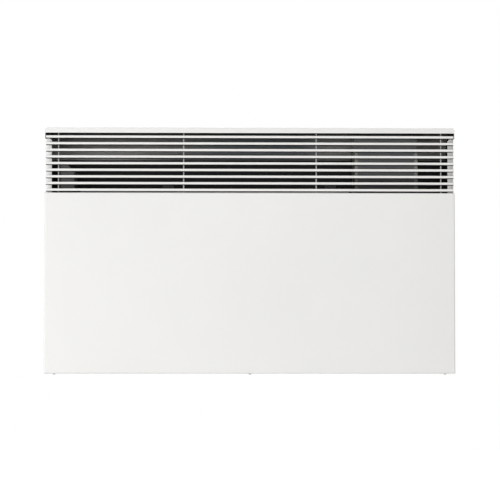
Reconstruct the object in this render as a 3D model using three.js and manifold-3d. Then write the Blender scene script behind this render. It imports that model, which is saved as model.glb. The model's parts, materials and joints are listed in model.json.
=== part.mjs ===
// Wall panel convector heater: a sheet steel casing with a plain front panel, a slatted
// outlet grille over its top third, a finned aluminium element in a duct of heat shields,
// thermostat controls sunk in the top, and a wall bracket that it hooks on.
//
// Millimetres, +Z up, +X to the viewer's right, the front facing -Y. Depths are written as
// a distance out from the wall, and heights are measured from the casing's bottom edge.
// The origin is the middle of the bracket's upper rail, on the wall.
import * as THREE from 'three';
import { mergeVertices } from 'three/addons/utils/BufferGeometryUtils.js';
import Module from 'manifold-3d';

const wasm = await Module();
wasm.setup();

// ---- Driving dimensions ------------------------------------------------------------------

const casingWidth = 740;
const casingHeight = 444;
const casingDepth = 80;
const standOff = 22;          // wall to the casing's back
const sheet = 1;              // casing and front panel
const thinSheet = 0.8;        // shields, baffles and small brackets
const fit = 0.3;              // gap between pieces that touch
const foldSteps = 3;

const topCornerRadius = 6;    // top corners, seen from the front
const topFrontRadius = 4;     // top face to front lip
const backFoldRadius = 2.5;
const lipHeight = 10.2;
const lipReturn = 12;         // stiffening fold behind the lip

const beadLength = 330;       // stiffening beads pressed into the casing's back
const beadWidth = 14;
const beadDepth = 2;
const beadDrop = 78;          // below the catches, and above the hooks

const slatCount = 9;
const slatPitch = 12;
const slatHeight = 4.6;
const slatDepth = 8;
const slatTopGap = 4.9;
const slatBottomGap = 2.5;
const slatEndGap = 2;         // short of the casing's side
const slatFoldRadius = 1.4;
const rodRadius = 1.1;
const rodEndInset = 24;       // from the casing's side
const rodMiddleX = 120;
const rodTail = 8;            // beyond the folds that hold the rods

const cheekWidth = 12;        // side flange behind the slats' ends
const cheekFoldRadius = 9;
const cheekChamfer = 4;

const panelReturn = 18;       // side returns of the front panel
const panelBottomRadius = 3;
const panelEdgeRadius = 2;
const joggle = 2;             // step in the casing's side, under the panel's return
const panelScrewInset = 18;   // from the casing's side
const panelScrewSetback = 8;  // from the panel's face
const screwHeadRadius = 2.6;
const screwHeadHeight = 1.4;
const screwShankRadius = 1.5;
const screwLength = 9;

const inletUpstand = 8;
const inletSlotLength = 44;
const inletSlotWidth = 5;
const inletSlotPitchX = 56;
const inletSlotPitchOut = 15;
const inletRows = 3;
const inletMargin = 20;

const hookSpacing = 300;      // between the bracket's two uprights
const hookHeight = 45;        // where the casing hangs on the hooks
const hookWidth = 22;
const hookTipHeight = 8;
const hookTipClearance = 4;   // in front of the casing's back, for the tilt
const hookSlotDrop = 8.3;
const bracketSheet = 1.5;
const uprightWidth = 24;
const railHeight = 30;
const railDepth = 9;
const lowerRailHeight = 72;
const upperRailDrop = 18.8;   // upper rail's middle, below the catches
const wallHoleSpacing = 230;
const wallHoleRadius = 3.5;
const wallSlotRadius = 2.3;   // narrow part of the upper keyholes
const wallSlotRise = 6;
const wallSlotPlay = 3;       // the lower holes' oblong, each way
const catchRise = 15;         // above the front panel's top
const catchWidth = 12;
const catchTip = 5;
const catchFoot = 24;
const catchPlay = 0.5;

const shieldDepth = 7;        // rear shield, out from the casing's back
const shieldRise = 7;         // above the hooks
const shieldTopDrop = 5;      // below the catches
const frontShieldTopDrop = 5; // below the front panel's top
const frontShieldBottom = 40;
const frontShieldHem = 8;
const baffleFrontSetback = 13;
const leftBaffleInset = 53;   // from the casing's side to the duct's left wall
const leftBaffleWidth = 26;
const baffleFoot = 12;
const baffleBottom = 30;
const leftBaffleGap = 9;      // below the deflector's foot
const baffleSlope = 12;

const deflectorFrontSetback = 4;
const deflectorDrop = 57;     // foot, below the casing's top
const deflectorFootHeight = 12;
const deflectorSteps = 14;

const elementHeight = 110;
const elementTubeRadius = 4.5;
const elementLeftRoom = 31;   // from the duct's wall to the first fin
const elementRightRoom = 40;
const elementTubeEnd = 16;    // tube beyond the last fin
const elementPinRadius = 1.6;
const elementPinLength = 10;
const finPitch = 13;
const finThickness = 0.9;
const finDepth = 40;
const finHeight = 56;
const finChamfer = 9;
const finNotch = 7;
const elementBracketGap = 8;  // from the last fin
const elementBracketHeight = 60;
const elementBracketFoot = 14;
const bushRadius = 7.5;
const bushFlangeRadius = 10.5;
const bushFlange = 2.5;

const controlInset = 65;      // from the casing's side to the control channel
const controlWidth = 115;
const controlDrop = 40;       // channel and housing, below the casing's top
const channelLip = 6;
const channelFrontSetback = 16;
const channelTail = 20;
const housingHeight = 150;
const housingWall = 2;
const neckInset = 10;         // from the channel's sides
const neckBack = 30;
const neckDepth = 46;
const neckRadius = 3;
const fasciaInset = 14;       // recess, from the channel's sides
const fasciaBack = 34;
const fasciaDepth = 38;
const fasciaCornerRadius = 4;
const fasciaRecess = 11.2;
const fasciaWall = 1.8;
const fasciaFlange = 4;

const dialInset = 42;         // from the channel's left side
const dialRadius = 17;
const dialHeight = 7.4;
const dialSkirt = 2.2;
const dialFlutes = 18;
const dialFluteRadius = 1.3;
const dialGripWidth = 7;
const shaftRadius = 3;
const thermostatRadius = 13;
const thermostatHeight = 15;
const thermostatBushRadius = 4.6;
const thermostatBushHeight = 5;

const switchInset = 32;       // from the channel's right side
const switchWidth = 16;       // body, across
const switchDepth = 23;
const switchBezel = 2;
const switchBezelHeight = 1.8;
const switchBodyDrop = 18;
const rockerWidth = 12.4;
const rockerLength = 19.2;
const rockerTilt = 9;         // degrees each side of level
const rockerHorn = 3.4;
const rockerDip = 1.4;
const rockerPinRadius = 1.2;
const rockerPinLength = 1.2;
const pivotSink = 2.4;        // below the bezel's top
const lensRadius = 2.4;
const fasciaScrewRadius = 1.2;
const fasciaScrewHead = 2.3;
const fasciaScrewLength = 14;
const bossRadius = 3.4;

const boardThickness = 1.6;
const boardSetback = 20;      // behind the housing's front
const boardHeight = 130;
const boardRise = 8;          // above the housing's open bottom
const connectorHeight = 10;
const connectorDepth = 10;
const connectorInset = 22;    // sensor's connector, from the channel's right side
const connectorRoom = 8;      // beside the outer leads
const relayDepth = 16;
const transformerDepth = 18;
const capacitorRadius = 6;
const leadRadius = 1.3;
const leadStub = 8;           // straight stretch at a lead's ends
const leadBow = 16;           // how far a lead swings out
const leadSpread = 1.8;       // from the grommet's middle to each lead in it
const leadSag = 18;           // below the fins
const terminalInset = 60;     // from the channel's left side
const terminalZ = 110;
const terminalSize = { width: 50, depth: 16, height: 18 };
const terminalPitch = 12;
const grommetRise = 10;       // above the element
const grommetOut = 60;
const grommetBore = 4.4;
const grommetRadius = 6.5;
const cutoutInset = 60;       // from the duct's right wall
const cutoutRise = 80;        // above the element
const cutoutRadius = 8;
const cutoutDepth = 9;
const cutoutBlade = 4;        // half the distance between its two blades
const glandInset = 35;        // from the channel's right side
const glandZ = 30;
const glandBore = 4;
const glandThread = 7;
const glandHead = 10;
const glandReach = 9;
const glandTail = 11;
const glandNutThickness = 4;
const earthInset = 5;         // from the channel's right side
const earthZ = 90;
const earthStudRadius = 2;
const earthNutRadius = 4;
const sensorInset = 15;       // from the channel's right side
const sensorOut = 60;
const sensorHeight = 36;
const sensorBulbLength = 15.4;

// ---- Levels and faces that follow from them ----------------------------------------------

const half = casingWidth / 2;
const back = standOff;
const inside = standOff + sheet;
const front = standOff + casingDepth;
const frontInside = front - sheet;
const top = casingHeight;
const topInside = top - sheet;
const lipBottom = top - lipHeight;
const slatTop = lipBottom - slatTopGap;
const lastSlatBottom = slatTop - (slatCount - 1) * slatPitch - slatHeight;
const panelTop = lastSlatBottom - slatBottomGap;
const slatBack = front - slatDepth;
const cheekTop = slatTop - slatHeight;
const cheekFront = slatBack - fit;
const panelBack = front - panelReturn;
const lapped = half - sheet - fit;
const inletFloor = sheet + fit;
const catchHeight = panelTop + catchRise;
const upperRailHeight = catchHeight - upperRailDrop;
const deflectorFoot = top - deflectorDrop;
const hookX = hookSpacing / 2;
const shieldFront = inside + shieldDepth + thinSheet;
const baffleFront = front - baffleFrontSetback;
const leftWall = -(half - leftBaffleInset);
const controlRight = half - controlInset;
const controlLeft = controlRight - controlWidth;
const channelFront = front - channelFrontSetback;
const housingTop = top - controlDrop;
const housingBottom = housingTop - housingHeight;
const channelBottom = housingBottom - channelTail;
const fasciaFloor = top - fasciaRecess;
const finStart = leftWall + elementLeftRoom;
const finEnd = controlLeft - elementRightRoom;
const elementOut = (shieldFront + baffleFront) / 2;
const housingFront = channelFront - thinSheet - fit;
const boardFront = housingFront - housingWall - boardSetback;
const connectorBottom = housingBottom + boardRise;
const dialX = controlLeft + dialInset;
const dialOut = fasciaBack + fasciaDepth / 2;
const switchX = controlRight - switchInset;
const lensX = (dialX + dialRadius + switchX - switchWidth / 2 - switchBezel) / 2;
const terminalX = controlLeft + terminalInset;
const glandX = controlRight - glandInset;
const earthX = controlRight - earthInset;
const sensorX = controlRight - sensorInset;
const cutoutX = controlLeft - cutoutInset;
const cutoutZ = elementHeight + cutoutRise;
const grommetHeight = elementHeight + grommetRise;
const pivotHeight = fasciaFloor + fit + switchBezelHeight - pivotSink;

// ---- Geometry helpers --------------------------------------------------------------------

const axisX = new THREE.Vector3(1, 0, 0);
const axisY = new THREE.Vector3(0, 1, 0);
const axisZ = new THREE.Vector3(0, 0, 1);

const plan = (x, out) => new THREE.Vector2(x, -out);
const side = (out, z) => new THREE.Vector2(-out, z);
const face = (x, z) => new THREE.Vector2(x, z);
const spot = (x, out, z) => new THREE.Vector3(x, -out, z);

// Turns a three.js geometry into a solid that can be joined and cut.
function solid(geometry) {
  const bare = geometry.index ? geometry.toNonIndexed() : geometry.clone();
  bare.deleteAttribute('normal');
  bare.deleteAttribute('uv');
  const merged = mergeVertices(bare);
  const corners = Array.from(merged.index.array);
  const triangles = [];
  for (let i = 0; i < corners.length; i += 3) {
    const [a, b, c] = corners.slice(i, i + 3);
    if (a !== b && b !== c && c !== a) {
      triangles.push(a, b, c);
    }
  }
  return new wasm.Manifold(new wasm.Mesh({
    numProp: 3,
    vertProperties: merged.attributes.position.array,
    triVerts: Uint32Array.from(triangles),
  }));
}

const join = (first, ...others) => others.reduce((whole, piece) => whole.add(piece), first);
const cut = (first, ...tools) => tools.reduce((rest, tool) => rest.subtract(tool), first);

// Carries an outline drawn along `u` and `v` from a start point along `way`.
function swept(outline, u, v, way, start) {
  const unit = new THREE.ExtrudeGeometry(new THREE.Shape(outline), { depth: 1, bevelEnabled: false });
  return solid(unit.applyMatrix4(new THREE.Matrix4().makeBasis(u, v, way).setPosition(start)));
}

// A side-view outline, carried from x0 to x1.
function alongX(outline, x0, x1) {
  return swept(outline, axisY, axisZ, new THREE.Vector3(x1 - x0, 0, 0), spot(x0, 0, 0));
}

// A front-view outline, carried out from the wall from out0 to out1.
function alongY(outline, out0, out1) {
  return swept(outline, axisX, axisZ, new THREE.Vector3(0, out0 - out1, 0), spot(0, out0, 0));
}

// A plan-view outline, carried up from z0 to z1.
function alongZ(outline, z0, z1) {
  return swept(outline, axisX, axisY, new THREE.Vector3(0, 0, z1 - z0), spot(0, 0, z0));
}

function block([x0, x1], [out0, out1], [z0, z1]) {
  const box = new THREE.BoxGeometry(x1 - x0, out1 - out0, z1 - z0);
  return solid(box.translate((x0 + x1) / 2, -(out0 + out1) / 2, (z0 + z1) / 2));
}

function barX(radius, [x0, x1], out, z, sides = 12) {
  const bar = new THREE.CylinderGeometry(radius, radius, x1 - x0, sides).rotateZ(Math.PI / 2);
  return solid(bar.translate((x0 + x1) / 2, -out, z));
}

function barY(radius, x, [out0, out1], z, sides = 12) {
  const bar = new THREE.CylinderGeometry(radius, radius, out1 - out0, sides);
  return solid(bar.translate(x, -(out0 + out1) / 2, z));
}

function barZ(radius, x, out, [z0, z1], sides = 12) {
  const bar = new THREE.CylinderGeometry(radius, radius, z1 - z0, sides).rotateX(Math.PI / 2);
  return solid(bar.translate(x, -out, (z0 + z1) / 2));
}

// A profile of [radius, height] pairs turned about an upright axis.
function turned(profile, sides = 16) {
  const points = profile.map(([radius, height]) => new THREE.Vector2(radius, height));
  return new THREE.LatheGeometry(points, sides).rotateX(Math.PI / 2);
}

// Replaces the corners of a line by arcs. The radius is one value, or one for each point.
function roundOff(points, radius, closed = false, steps = foldSteps) {
  const line = [];
  points.forEach((corner, i) => {
    const size = Array.isArray(radius) ? radius[i] : radius;
    const atEnd = !closed && (i === 0 || i === points.length - 1);
    if (atEnd || !size) {
      line.push(corner);
      return;
    }
    const before = points.at(i - 1).clone().sub(corner).normalize();
    const after = points[(i + 1) % points.length].clone().sub(corner).normalize();
    const halfAngle = Math.acos(before.dot(after)) / 2;
    const start = corner.clone().addScaledVector(before, size / Math.tan(halfAngle));
    const centre = before.clone().add(after).setLength(size / Math.sin(halfAngle)).add(corner);
    const turn = Math.sign(after.cross(before)) * (Math.PI - 2 * halfAngle);
    for (let step = 0; step <= steps; step += 1) {
      line.push(start.clone().rotateAround(centre, (turn * step) / steps));
    }
  });
  return line;
}

// The outline of a bent sheet whose thickness lies to the left of the line that is walked.
function bentSheet(line, thickness) {
  const last = line.length - 1;
  const direction = (i) => line[i + 1].clone().sub(line[i]).normalize();
  const leftOf = (way) => new THREE.Vector2(-way.y, way.x);
  const moved = line.map((point, i) => {
    const incoming = leftOf(direction(Math.max(i - 1, 0)));
    const outgoing = leftOf(direction(Math.min(i, last - 1)));
    const mitre = incoming.clone().add(outgoing).normalize();
    return point.clone().addScaledVector(mitre, thickness / mitre.dot(incoming));
  });
  return [...line, ...moved.reverse()];
}

function rectangle(point, [u0, u1], [v0, v1]) {
  return [point(u0, v0), point(u1, v0), point(u1, v1), point(u0, v1)];
}

const reflected = (line) => [...line, ...line.map((p) => new THREE.Vector2(-p.x, p.y)).reverse()];

// A round wire or lead that follows a smooth curve through the given places.
function lead(places, steps) {
  const curve = new THREE.CatmullRomCurve3(places);
  const ring = new THREE.EllipseCurve(0, 0, leadRadius, leadRadius).getPoints(6).slice(0, -1);
  const shape = new THREE.Shape(ring);
  const options = { steps, extrudePath: curve, bevelEnabled: false };
  return solid(new THREE.ExtrudeGeometry(shape, options));
}

// ---- Casing and front --------------------------------------------------------------------

// The casing's section at one height: back and two sides, with the sides' front edges given.
function casingZone(sideEdge, edgeRadii, z0, z1) {
  const line = reflected([...sideEdge, plan(half, back)]);
  const radii = [...edgeRadii, backFoldRadius];
  const outline = bentSheet(roundOff(line, [...radii, ...radii.toReversed()]), sheet);
  return alongZ(outline, z0, z1);
}

function topShell(inset) {
  const outline = roundOff(
    rectangle(side, [back + inset, front - inset], [cheekTop, top - inset]),
    [0, 0, topFrontRadius - inset, backFoldRadius - inset],
    true,
  );
  const corner = topCornerRadius - inset;
  const width = [-(half - inset), half - inset];
  const frontView = rectangle(face, width, [cheekTop, top - inset]);
  const rounded = roundOff(frontView, [0, 0, corner, corner], true, 5);
  return alongX(outline, ...width).intersect(alongY(rounded, back, front));
}

function casingTop() {
  const mouth = block([-(half - sheet), half - sheet], [frontInside - fit, front + fit],
    [cheekTop - fit, lipBottom]);
  const open = rectangle(face, [-(half - sheet), half - sheet], [cheekTop - fit, cheekTop + fit]);
  const returnFold = block([-(half - sheet), half - sheet],
    [frontInside - lipReturn, frontInside], [lipBottom, lipBottom + sheet]);
  const underside = alongY(open, inside, frontInside);
  return join(cut(topShell(0), topShell(sheet), underside, mouth), returnFold);
}

function rodPositions() {
  const outer = half - rodEndInset;
  return [-outer, -rodMiddleX, rodMiddleX, outer];
}

const rodOut = slatBack - fit - rodRadius;

function rodHoles(z0, z1) {
  return rodPositions().map((x) => barZ(rodRadius + fit, x, rodOut, [z0, z1], 8));
}

function fasciaOpening(grow = 0) {
  const outline = rectangle(plan,
    [controlLeft + fasciaInset - grow, controlRight - fasciaInset + grow],
    [fasciaBack - grow, fasciaBack + fasciaDepth + grow]);
  return roundOff(outline, fasciaCornerRadius + grow, true, 4);
}

// The form of one bead, as it stands out from a face of the sheet.
function bead(z, base) {
  const sunk = 0.5;
  const outline = (grow) => roundOff(rectangle(face,
    [-beadLength / 2 - grow, beadLength / 2 + grow],
    [z - beadWidth / 2 - grow, z + beadWidth / 2 + grow]), beadWidth * 0.45 + grow, true, 2);
  const places = [[sunk, base - sunk], [-beadDepth, base + beadDepth]];
  return wasm.Manifold.hull(places.flatMap(([grow, out]) => (
    outline(grow).map((p) => [p.x, -out, p.y]))));
}

function rearCasing() {
  const beadHeights = [hookHeight + beadDrop, catchHeight - beadDrop];
  const tabTop = panelTop - sheet - fit;
  const sideEdge = panelBack - fit;
  const lapEdge = [plan(lapped, frontInside - joggle), plan(lapped, sideEdge),
    plan(half, sideEdge - joggle)];
  const plainEdge = [plan(half, sideEdge - joggle)];
  const cheekEdge = [plan(half - cheekWidth, cheekFront), plan(half, cheekFront)];
  const backTools = [-hookX, hookX].flatMap((x) => [
    block([x - hookWidth / 2 - 2, x + hookWidth / 2 + 2], [back - 1, inside + 1],
      [hookHeight - hookSlotDrop, hookHeight]),
    block([x - catchWidth / 2 - 2, x + catchWidth / 2 + 2], [back - 1, inside + 1],
      [catchHeight - thinSheet - 1.5, catchHeight + catchTip]),
  ]);
  const chamfer = (direction) => alongY([
    face(direction * (half - cheekWidth - 1), cheekTop + 1),
    face(direction * (half - cheekWidth - 1), cheekTop - cheekChamfer),
    face(direction * (half - cheekWidth), cheekTop - cheekChamfer),
    face(direction * (half - cheekWidth + cheekChamfer), cheekTop),
    face(direction * (half - cheekWidth + cheekChamfer), cheekTop + 1),
  ], cheekFront - cheekFoldRadius, cheekFront + fit);
  const lower = join(
    casingZone(plainEdge, [0], 0, inletFloor),
    casingZone(lapEdge, [0, 0, 0], inletFloor, tabTop),
    casingZone(plainEdge, [0], tabTop, panelTop + fit),
    cut(casingZone(cheekEdge, [0, cheekFoldRadius], panelTop + fit, cheekTop),
      chamfer(1), chamfer(-1)),
  );
  return cut(
    join(lower, casingTop(), ...beadHeights.map((z) => bead(z, inside))),
    ...beadHeights.map((z) => bead(z, back)),
    ...backTools,
    ...rodHoles(lipBottom - 1, lipBottom + sheet + 1),
    alongZ(fasciaOpening(), topInside - 1, top + 1),
    barY(glandThread + fit, glandX, [back - 1, inside + 1], glandZ),
  );
}

function panelShell(inset) {
  const radii = [panelBottomRadius, panelEdgeRadius].map((radius) => radius - inset);
  const outline = roundOff(
    rectangle(side, [panelBack, front - inset], [inset, panelTop - inset]),
    [0, radii[0], radii[1], 0].map((radius) => Math.max(radius, 0)),
    true,
  );
  const width = half - inset;
  const edge = rectangle(plan, [-width, width], [panelBack, front - inset]);
  const edges = roundOff(edge, [0, 0, 1, 1].map((used) => Math.max(used * radii[1], 0)), true);
  return alongX(outline, -width, width).intersect(alongZ(edges, inset, panelTop - inset));
}

function panelScrewPositions() {
  return [-(half - panelScrewInset), 0, half - panelScrewInset];
}

function panelScrewHoles(z0, z1) {
  return panelScrewPositions().map((x) => (
    barZ(screwShankRadius + fit, x, front - panelScrewSetback, [z0, z1], 10)));
}

function frontPanel() {
  const openBack = block([-(half - sheet), half - sheet], [panelBack - 1, baffleFront + 2 * fit],
    [panelTop - 2 * sheet, panelTop + 1]);
  return cut(
    panelShell(0),
    panelShell(sheet),
    openBack,
    ...rodHoles(panelTop - 2 * sheet, panelTop + 1),
    ...panelScrewHoles(-1, 2 * sheet),
  );
}

function slat() {
  const line = [side(slatBack, slatHeight), side(front, slatHeight),
    side(front, 0), side(slatBack, 0)];
  const length = half - slatEndGap;
  return alongX(bentSheet(roundOff(line, slatFoldRadius), thinSheet), -length, length);
}

function grilleRod() {
  return barZ(rodRadius, 0, 0, [panelTop - sheet - rodTail, lipBottom + sheet + rodTail / 2], 8);
}

function panelScrew() {
  const head = new THREE.CylinderGeometry(screwHeadRadius, screwHeadRadius * 0.8,
    screwHeadHeight, 12).rotateX(Math.PI / 2).translate(0, 0, -fit - screwHeadHeight / 2);
  return join(solid(head), barZ(screwShankRadius, 0, 0, [-fit - 0.5, screwLength], 10));
}

function inletGrille() {
  const width = lapped - sheet - fit;
  const depth = [inside + fit, frontInside - joggle - fit];
  const plate = rectangle(plan, [-width, width], depth);
  const columns = Math.floor((2 * (width - inletMargin)) / inletSlotPitchX);
  const holes = [];
  for (let row = 0; row < inletRows; row += 1) {
    for (let column = 0; column < columns; column += 1) {
      const x = (column - (columns - 1) / 2) * inletSlotPitchX;
      const out = depth[0] + inletMargin - inletSlotWidth + row * inletSlotPitchOut;
      const slot = rectangle(plan, [x - inletSlotLength / 2, x + inletSlotLength / 2],
        [out, out + inletSlotWidth]);
      holes.push(alongZ(roundOff(slot, inletSlotWidth / 2 - 0.5, true, 1), 0, 2 * inletFloor + sheet));
    }
  }
  const floor = [inletFloor, inletFloor + sheet];
  const upstand = [inletFloor, inletFloor + inletUpstand];
  return cut(
    join(
      alongZ(plate, ...floor),
      block([-width, width], [depth[0], depth[0] + sheet], upstand),
      block([-width, sheet - width], [depth[0], panelBack], upstand),
      block([width - sheet, width], [depth[0], panelBack], upstand),
    ),
    ...holes,
    ...panelScrewHoles(0, inletFloor + 2 * sheet),
  );
}

// ---- Duct --------------------------------------------------------------------------------

function airDeflector() {
  const reach = half - topCornerRadius;
  const heel = inside + fit;
  const foot = deflectorFoot;
  const start = foot + deflectorFootHeight;
  const crest = frontInside + sheet - deflectorFrontSetback;
  const curve = new THREE.EllipseCurve(-crest, start, crest - heel, topInside - fit - start,
    0, Math.PI / 2);
  const line = [side(heel, foot), ...curve.getPoints(deflectorSteps)];
  const controls = block([controlLeft - 2, controlRight + 2],
    [back, neckBack + neckDepth + 2 * fasciaFlange], [foot - 1, top]);
  return cut(alongX(bentSheet(line, thinSheet), -reach, reach), controls);
}

function rearShield() {
  const left = leftWall + 5;
  const right = controlLeft - 6;
  const line = [plan(left, inside + fit), plan(left, shieldFront),
    plan(right, shieldFront), plan(right, inside + fit)];
  return alongZ(bentSheet(roundOff(line, 1.5), thinSheet),
    hookHeight + shieldRise, catchHeight - shieldTopDrop);
}

function frontShield() {
  const out = baffleFront + fit;
  const z = [frontShieldBottom, panelTop - frontShieldTopDrop];
  const hemSpan = [leftWall + 2, controlLeft - 2];
  const plate = block([leftWall - leftBaffleWidth + 6, controlLeft + channelLip],
    [out, out + thinSheet], z);
  const hem = (z0) => block(hemSpan, [out - frontShieldHem, out + thinSheet], [z0, z0 + thinSheet]);
  return join(plate, hem(z[0]), hem(z[1] - thinSheet));
}

function leftBaffle() {
  const crest = deflectorFoot - leftBaffleGap;
  const line = [plan(leftWall - leftBaffleWidth, baffleFront), plan(leftWall, baffleFront),
    plan(leftWall, inside + fit), plan(leftWall - baffleFoot, inside + fit)];
  const body = alongZ(bentSheet(roundOff(line, 1.2), thinSheet), baffleBottom, crest);
  const slope = alongY([
    face(leftWall - baffleSlope - 2, crest + 1),
    face(leftWall - baffleSlope - 2, crest),
    face(leftWall - 2, crest - baffleSlope),
    face(leftWall + 2, crest - baffleSlope),
    face(leftWall + 2, crest + 1),
  ], 0, front);
  return cut(body, slope);
}

function rightBaffle() {
  const line = [plan(controlLeft + baffleFoot, inside + fit), plan(controlLeft, inside + fit),
    plan(controlLeft, baffleFront), plan(controlLeft + channelLip, baffleFront)];
  const body = alongZ(bentSheet(roundOff(line, 1.2), thinSheet),
    baffleBottom, channelBottom - fit);
  const hole = barX(grommetRadius - 1 + fit, [controlLeft - 2, controlLeft + 3],
    grommetOut, grommetHeight);
  return cut(body, hole);
}

function leadGrommet() {
  const left = controlLeft - fit;
  const right = controlLeft + thinSheet + fit;
  const flange = 1.5;
  const ring = join(
    barX(grommetRadius - 1, [left - flange, right + flange], grommetOut, grommetHeight),
    barX(grommetRadius + 1, [left - flange, left], grommetOut, grommetHeight),
    barX(grommetRadius + 1, [right, right + flange], grommetOut, grommetHeight),
  );
  return cut(ring, barX(grommetBore, [left - 5, right + 5], grommetOut, grommetHeight));
}

// ---- Heating element ---------------------------------------------------------------------

// One fin: a plate with clipped corners and a waist, so that the air can pass beside the tube.
function finOutline() {
  const quarter = [
    [finDepth / 2 - finNotch, 0],
    [finDepth / 2, finNotch],
    [finDepth / 2, finHeight / 2 - finChamfer],
    [finDepth / 2 - finChamfer, finHeight / 2],
  ];
  const upper = [...quarter, ...quarter.map(([out, z]) => [-out, z]).reverse()];
  const lower = quarter.slice(1).map(([out, z]) => [out, -z]).reverse();
  const outline = [...upper, ...lower.map(([out, z]) => [-out, z]).reverse(), ...lower];
  return outline.map(([out, z]) => side(elementOut + out, elementHeight + z));
}

function heatingElement() {
  const tube = [finStart - elementTubeEnd, finEnd + elementTubeEnd];
  const pins = barX(elementPinRadius, [tube[0] - elementPinLength, tube[1] + elementPinLength],
    elementOut, elementHeight, 8);
  const outline = finOutline();
  const fins = [];
  for (let x = finStart; x + finThickness <= finEnd; x += finPitch) {
    fins.push(alongX(outline, x, x + finThickness));
  }
  return join(barX(elementTubeRadius, tube, elementOut, elementHeight, 8), pins, ...fins);
}

// A plate that stands on the rear shield; `away` is the side that its foot points to.
function elementBracket(x, away) {
  const foot = shieldFront + fit;
  const line = [plan(x, elementOut + finDepth / 2), plan(x, foot),
    plan(x + away * elementBracketFoot, foot)];
  const ordered = away > 0 ? line.toReversed() : line;
  const body = alongZ(bentSheet(roundOff(ordered, 1.2), thinSheet),
    elementHeight - elementBracketHeight / 2, elementHeight + elementBracketHeight / 2);
  return cut(body, barX(bushRadius + fit, [x - 3, x + 3], elementOut, elementHeight, 16));
}

// A ceramic bush; `away` is the side that its flange lies on.
function elementBush(x, away) {
  const seat = x + away * (thinSheet + fit);
  const hub = away > 0 ? [x - 4, seat + bushFlange] : [seat - bushFlange, x + 4];
  const flange = away > 0 ? [seat, seat + bushFlange] : [seat - bushFlange, seat];
  return cut(
    join(barX(bushRadius, hub, elementOut, elementHeight, 16),
      barX(bushFlangeRadius, flange, elementOut, elementHeight, 16)),
    barX(elementTubeRadius + fit, [x - 10, x + 10], elementOut, elementHeight, 16),
  );
}

function thermalCutout() {
  const foot = shieldFront + fit;
  const blade = (x) => block([x - 0.4, x + 0.4], [foot + cutoutDepth - 1, foot + cutoutDepth + 6],
    [cutoutZ - 3, cutoutZ + 3]);
  return join(
    barY(cutoutRadius, cutoutX, [foot, foot + cutoutDepth], cutoutZ, 16),
    block([cutoutX - 14, cutoutX + 14], [foot, foot + 1.2], [cutoutZ - 4, cutoutZ + 4]),
    blade(cutoutX - cutoutBlade),
    blade(cutoutX + cutoutBlade),
  );
}

// ---- Controls ----------------------------------------------------------------------------

function controlChannel() {
  const line = [plan(controlRight - channelLip, channelFront), plan(controlRight, channelFront),
    plan(controlRight, inside + fit), plan(controlLeft, inside + fit),
    plan(controlLeft, channelFront), plan(controlLeft + channelLip, channelFront)];
  const body = alongZ(bentSheet(roundOff(line, 1.2), thinSheet), channelBottom, housingTop);
  const slope = alongY([
    face(controlLeft - 1, housingTop + 1),
    face(controlLeft + channelLip + 1, housingTop + 1),
    face(controlLeft + channelLip + 1, housingTop - channelLip - 1),
  ], channelFront - 3, channelFront + 1);
  return cut(body, slope);
}

function housingBox(grow, z0, z1) {
  const x = [controlLeft + thinSheet + fit + grow, controlRight - thinSheet - fit - grow];
  const out = [inside + 2 * fit + thinSheet + grow, housingFront - grow];
  return alongZ(roundOff(rectangle(plan, x, out), neckRadius - grow, true), z0, z1);
}

function neck(grow, z0, z1) {
  const x = [controlLeft + neckInset + grow, controlRight - neckInset - grow];
  const out = [neckBack + grow, neckBack + neckDepth - grow];
  return alongZ(roundOff(rectangle(plan, x, out), neckRadius - grow, true), z0, z1);
}

function fasciaScrewPositions() {
  const out = fasciaBack + fasciaDepth - fasciaScrewHead - 2;
  return [[controlLeft + fasciaInset + fasciaScrewHead + 2, out],
    [controlRight - fasciaInset - fasciaScrewHead - 2, out]];
}

function controlHousing() {
  const neckTop = fasciaFloor - fasciaWall - fit;
  const shell = join(
    cut(housingBox(0, housingBottom, housingTop),
      housingBox(housingWall, housingBottom - 1, housingTop - housingWall)),
    neck(0, housingTop - housingWall, neckTop),
  );
  const bossSpan = [housingTop - housingWall, neckTop];
  const bosses = fasciaScrewPositions().flatMap(([x, out]) => [
    barZ(bossRadius, x, out, bossSpan, 12),
    block([x - housingWall / 2, x + housingWall / 2],
      [out, neckBack + neckDepth - housingWall / 2], bossSpan),
  ]);
  const fixing = fasciaScrewPositions().map(([x, out]) => (
    barZ(fasciaScrewRadius + fit, x, out, [fasciaFloor - fasciaScrewLength - 2, neckTop + 1], 10)));
  const opened = cut(shell, neck(housingWall, housingTop - 2 * housingWall, neckTop + 1));
  return cut(join(opened, ...bosses), ...fixing);
}

function circuitBoard() {
  const wall = controlLeft + thinSheet + fit + housingWall + fit;
  const wallRight = controlRight - thinSheet - fit - housingWall - fit;
  const across = (share) => partWay(wall, wallRight, share);
  const up = (share) => connectorBottom + boardHeight * share;
  const onBoard = (x, depth, z) => block(x, [boardFront - fit, boardFront + depth], z);
  const connector = (x0, x1) => onBoard([x0 - connectorRoom, x1 + connectorRoom], connectorDepth,
    [connectorBottom, connectorBottom + connectorHeight]);
  const sensorPlug = controlRight - connectorInset;
  return join(
    block([wall, wallRight], [boardFront - boardThickness, boardFront], [up(0), up(1)]),
    connector(controlLeft + leadBow + leadStub, terminalX - terminalPitch),
    connector(sensorPlug, sensorPlug),
    onBoard([across(0.15), across(0.33)], relayDepth, [up(0.31), up(0.45)]),
    onBoard([across(0.13), across(0.41)], transformerDepth, [up(0.585), up(0.8)]),
    barY(capacitorRadius, across(0.68), [boardFront - fit, boardFront + relayDepth], up(0.46), 14),
  );
}

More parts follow.
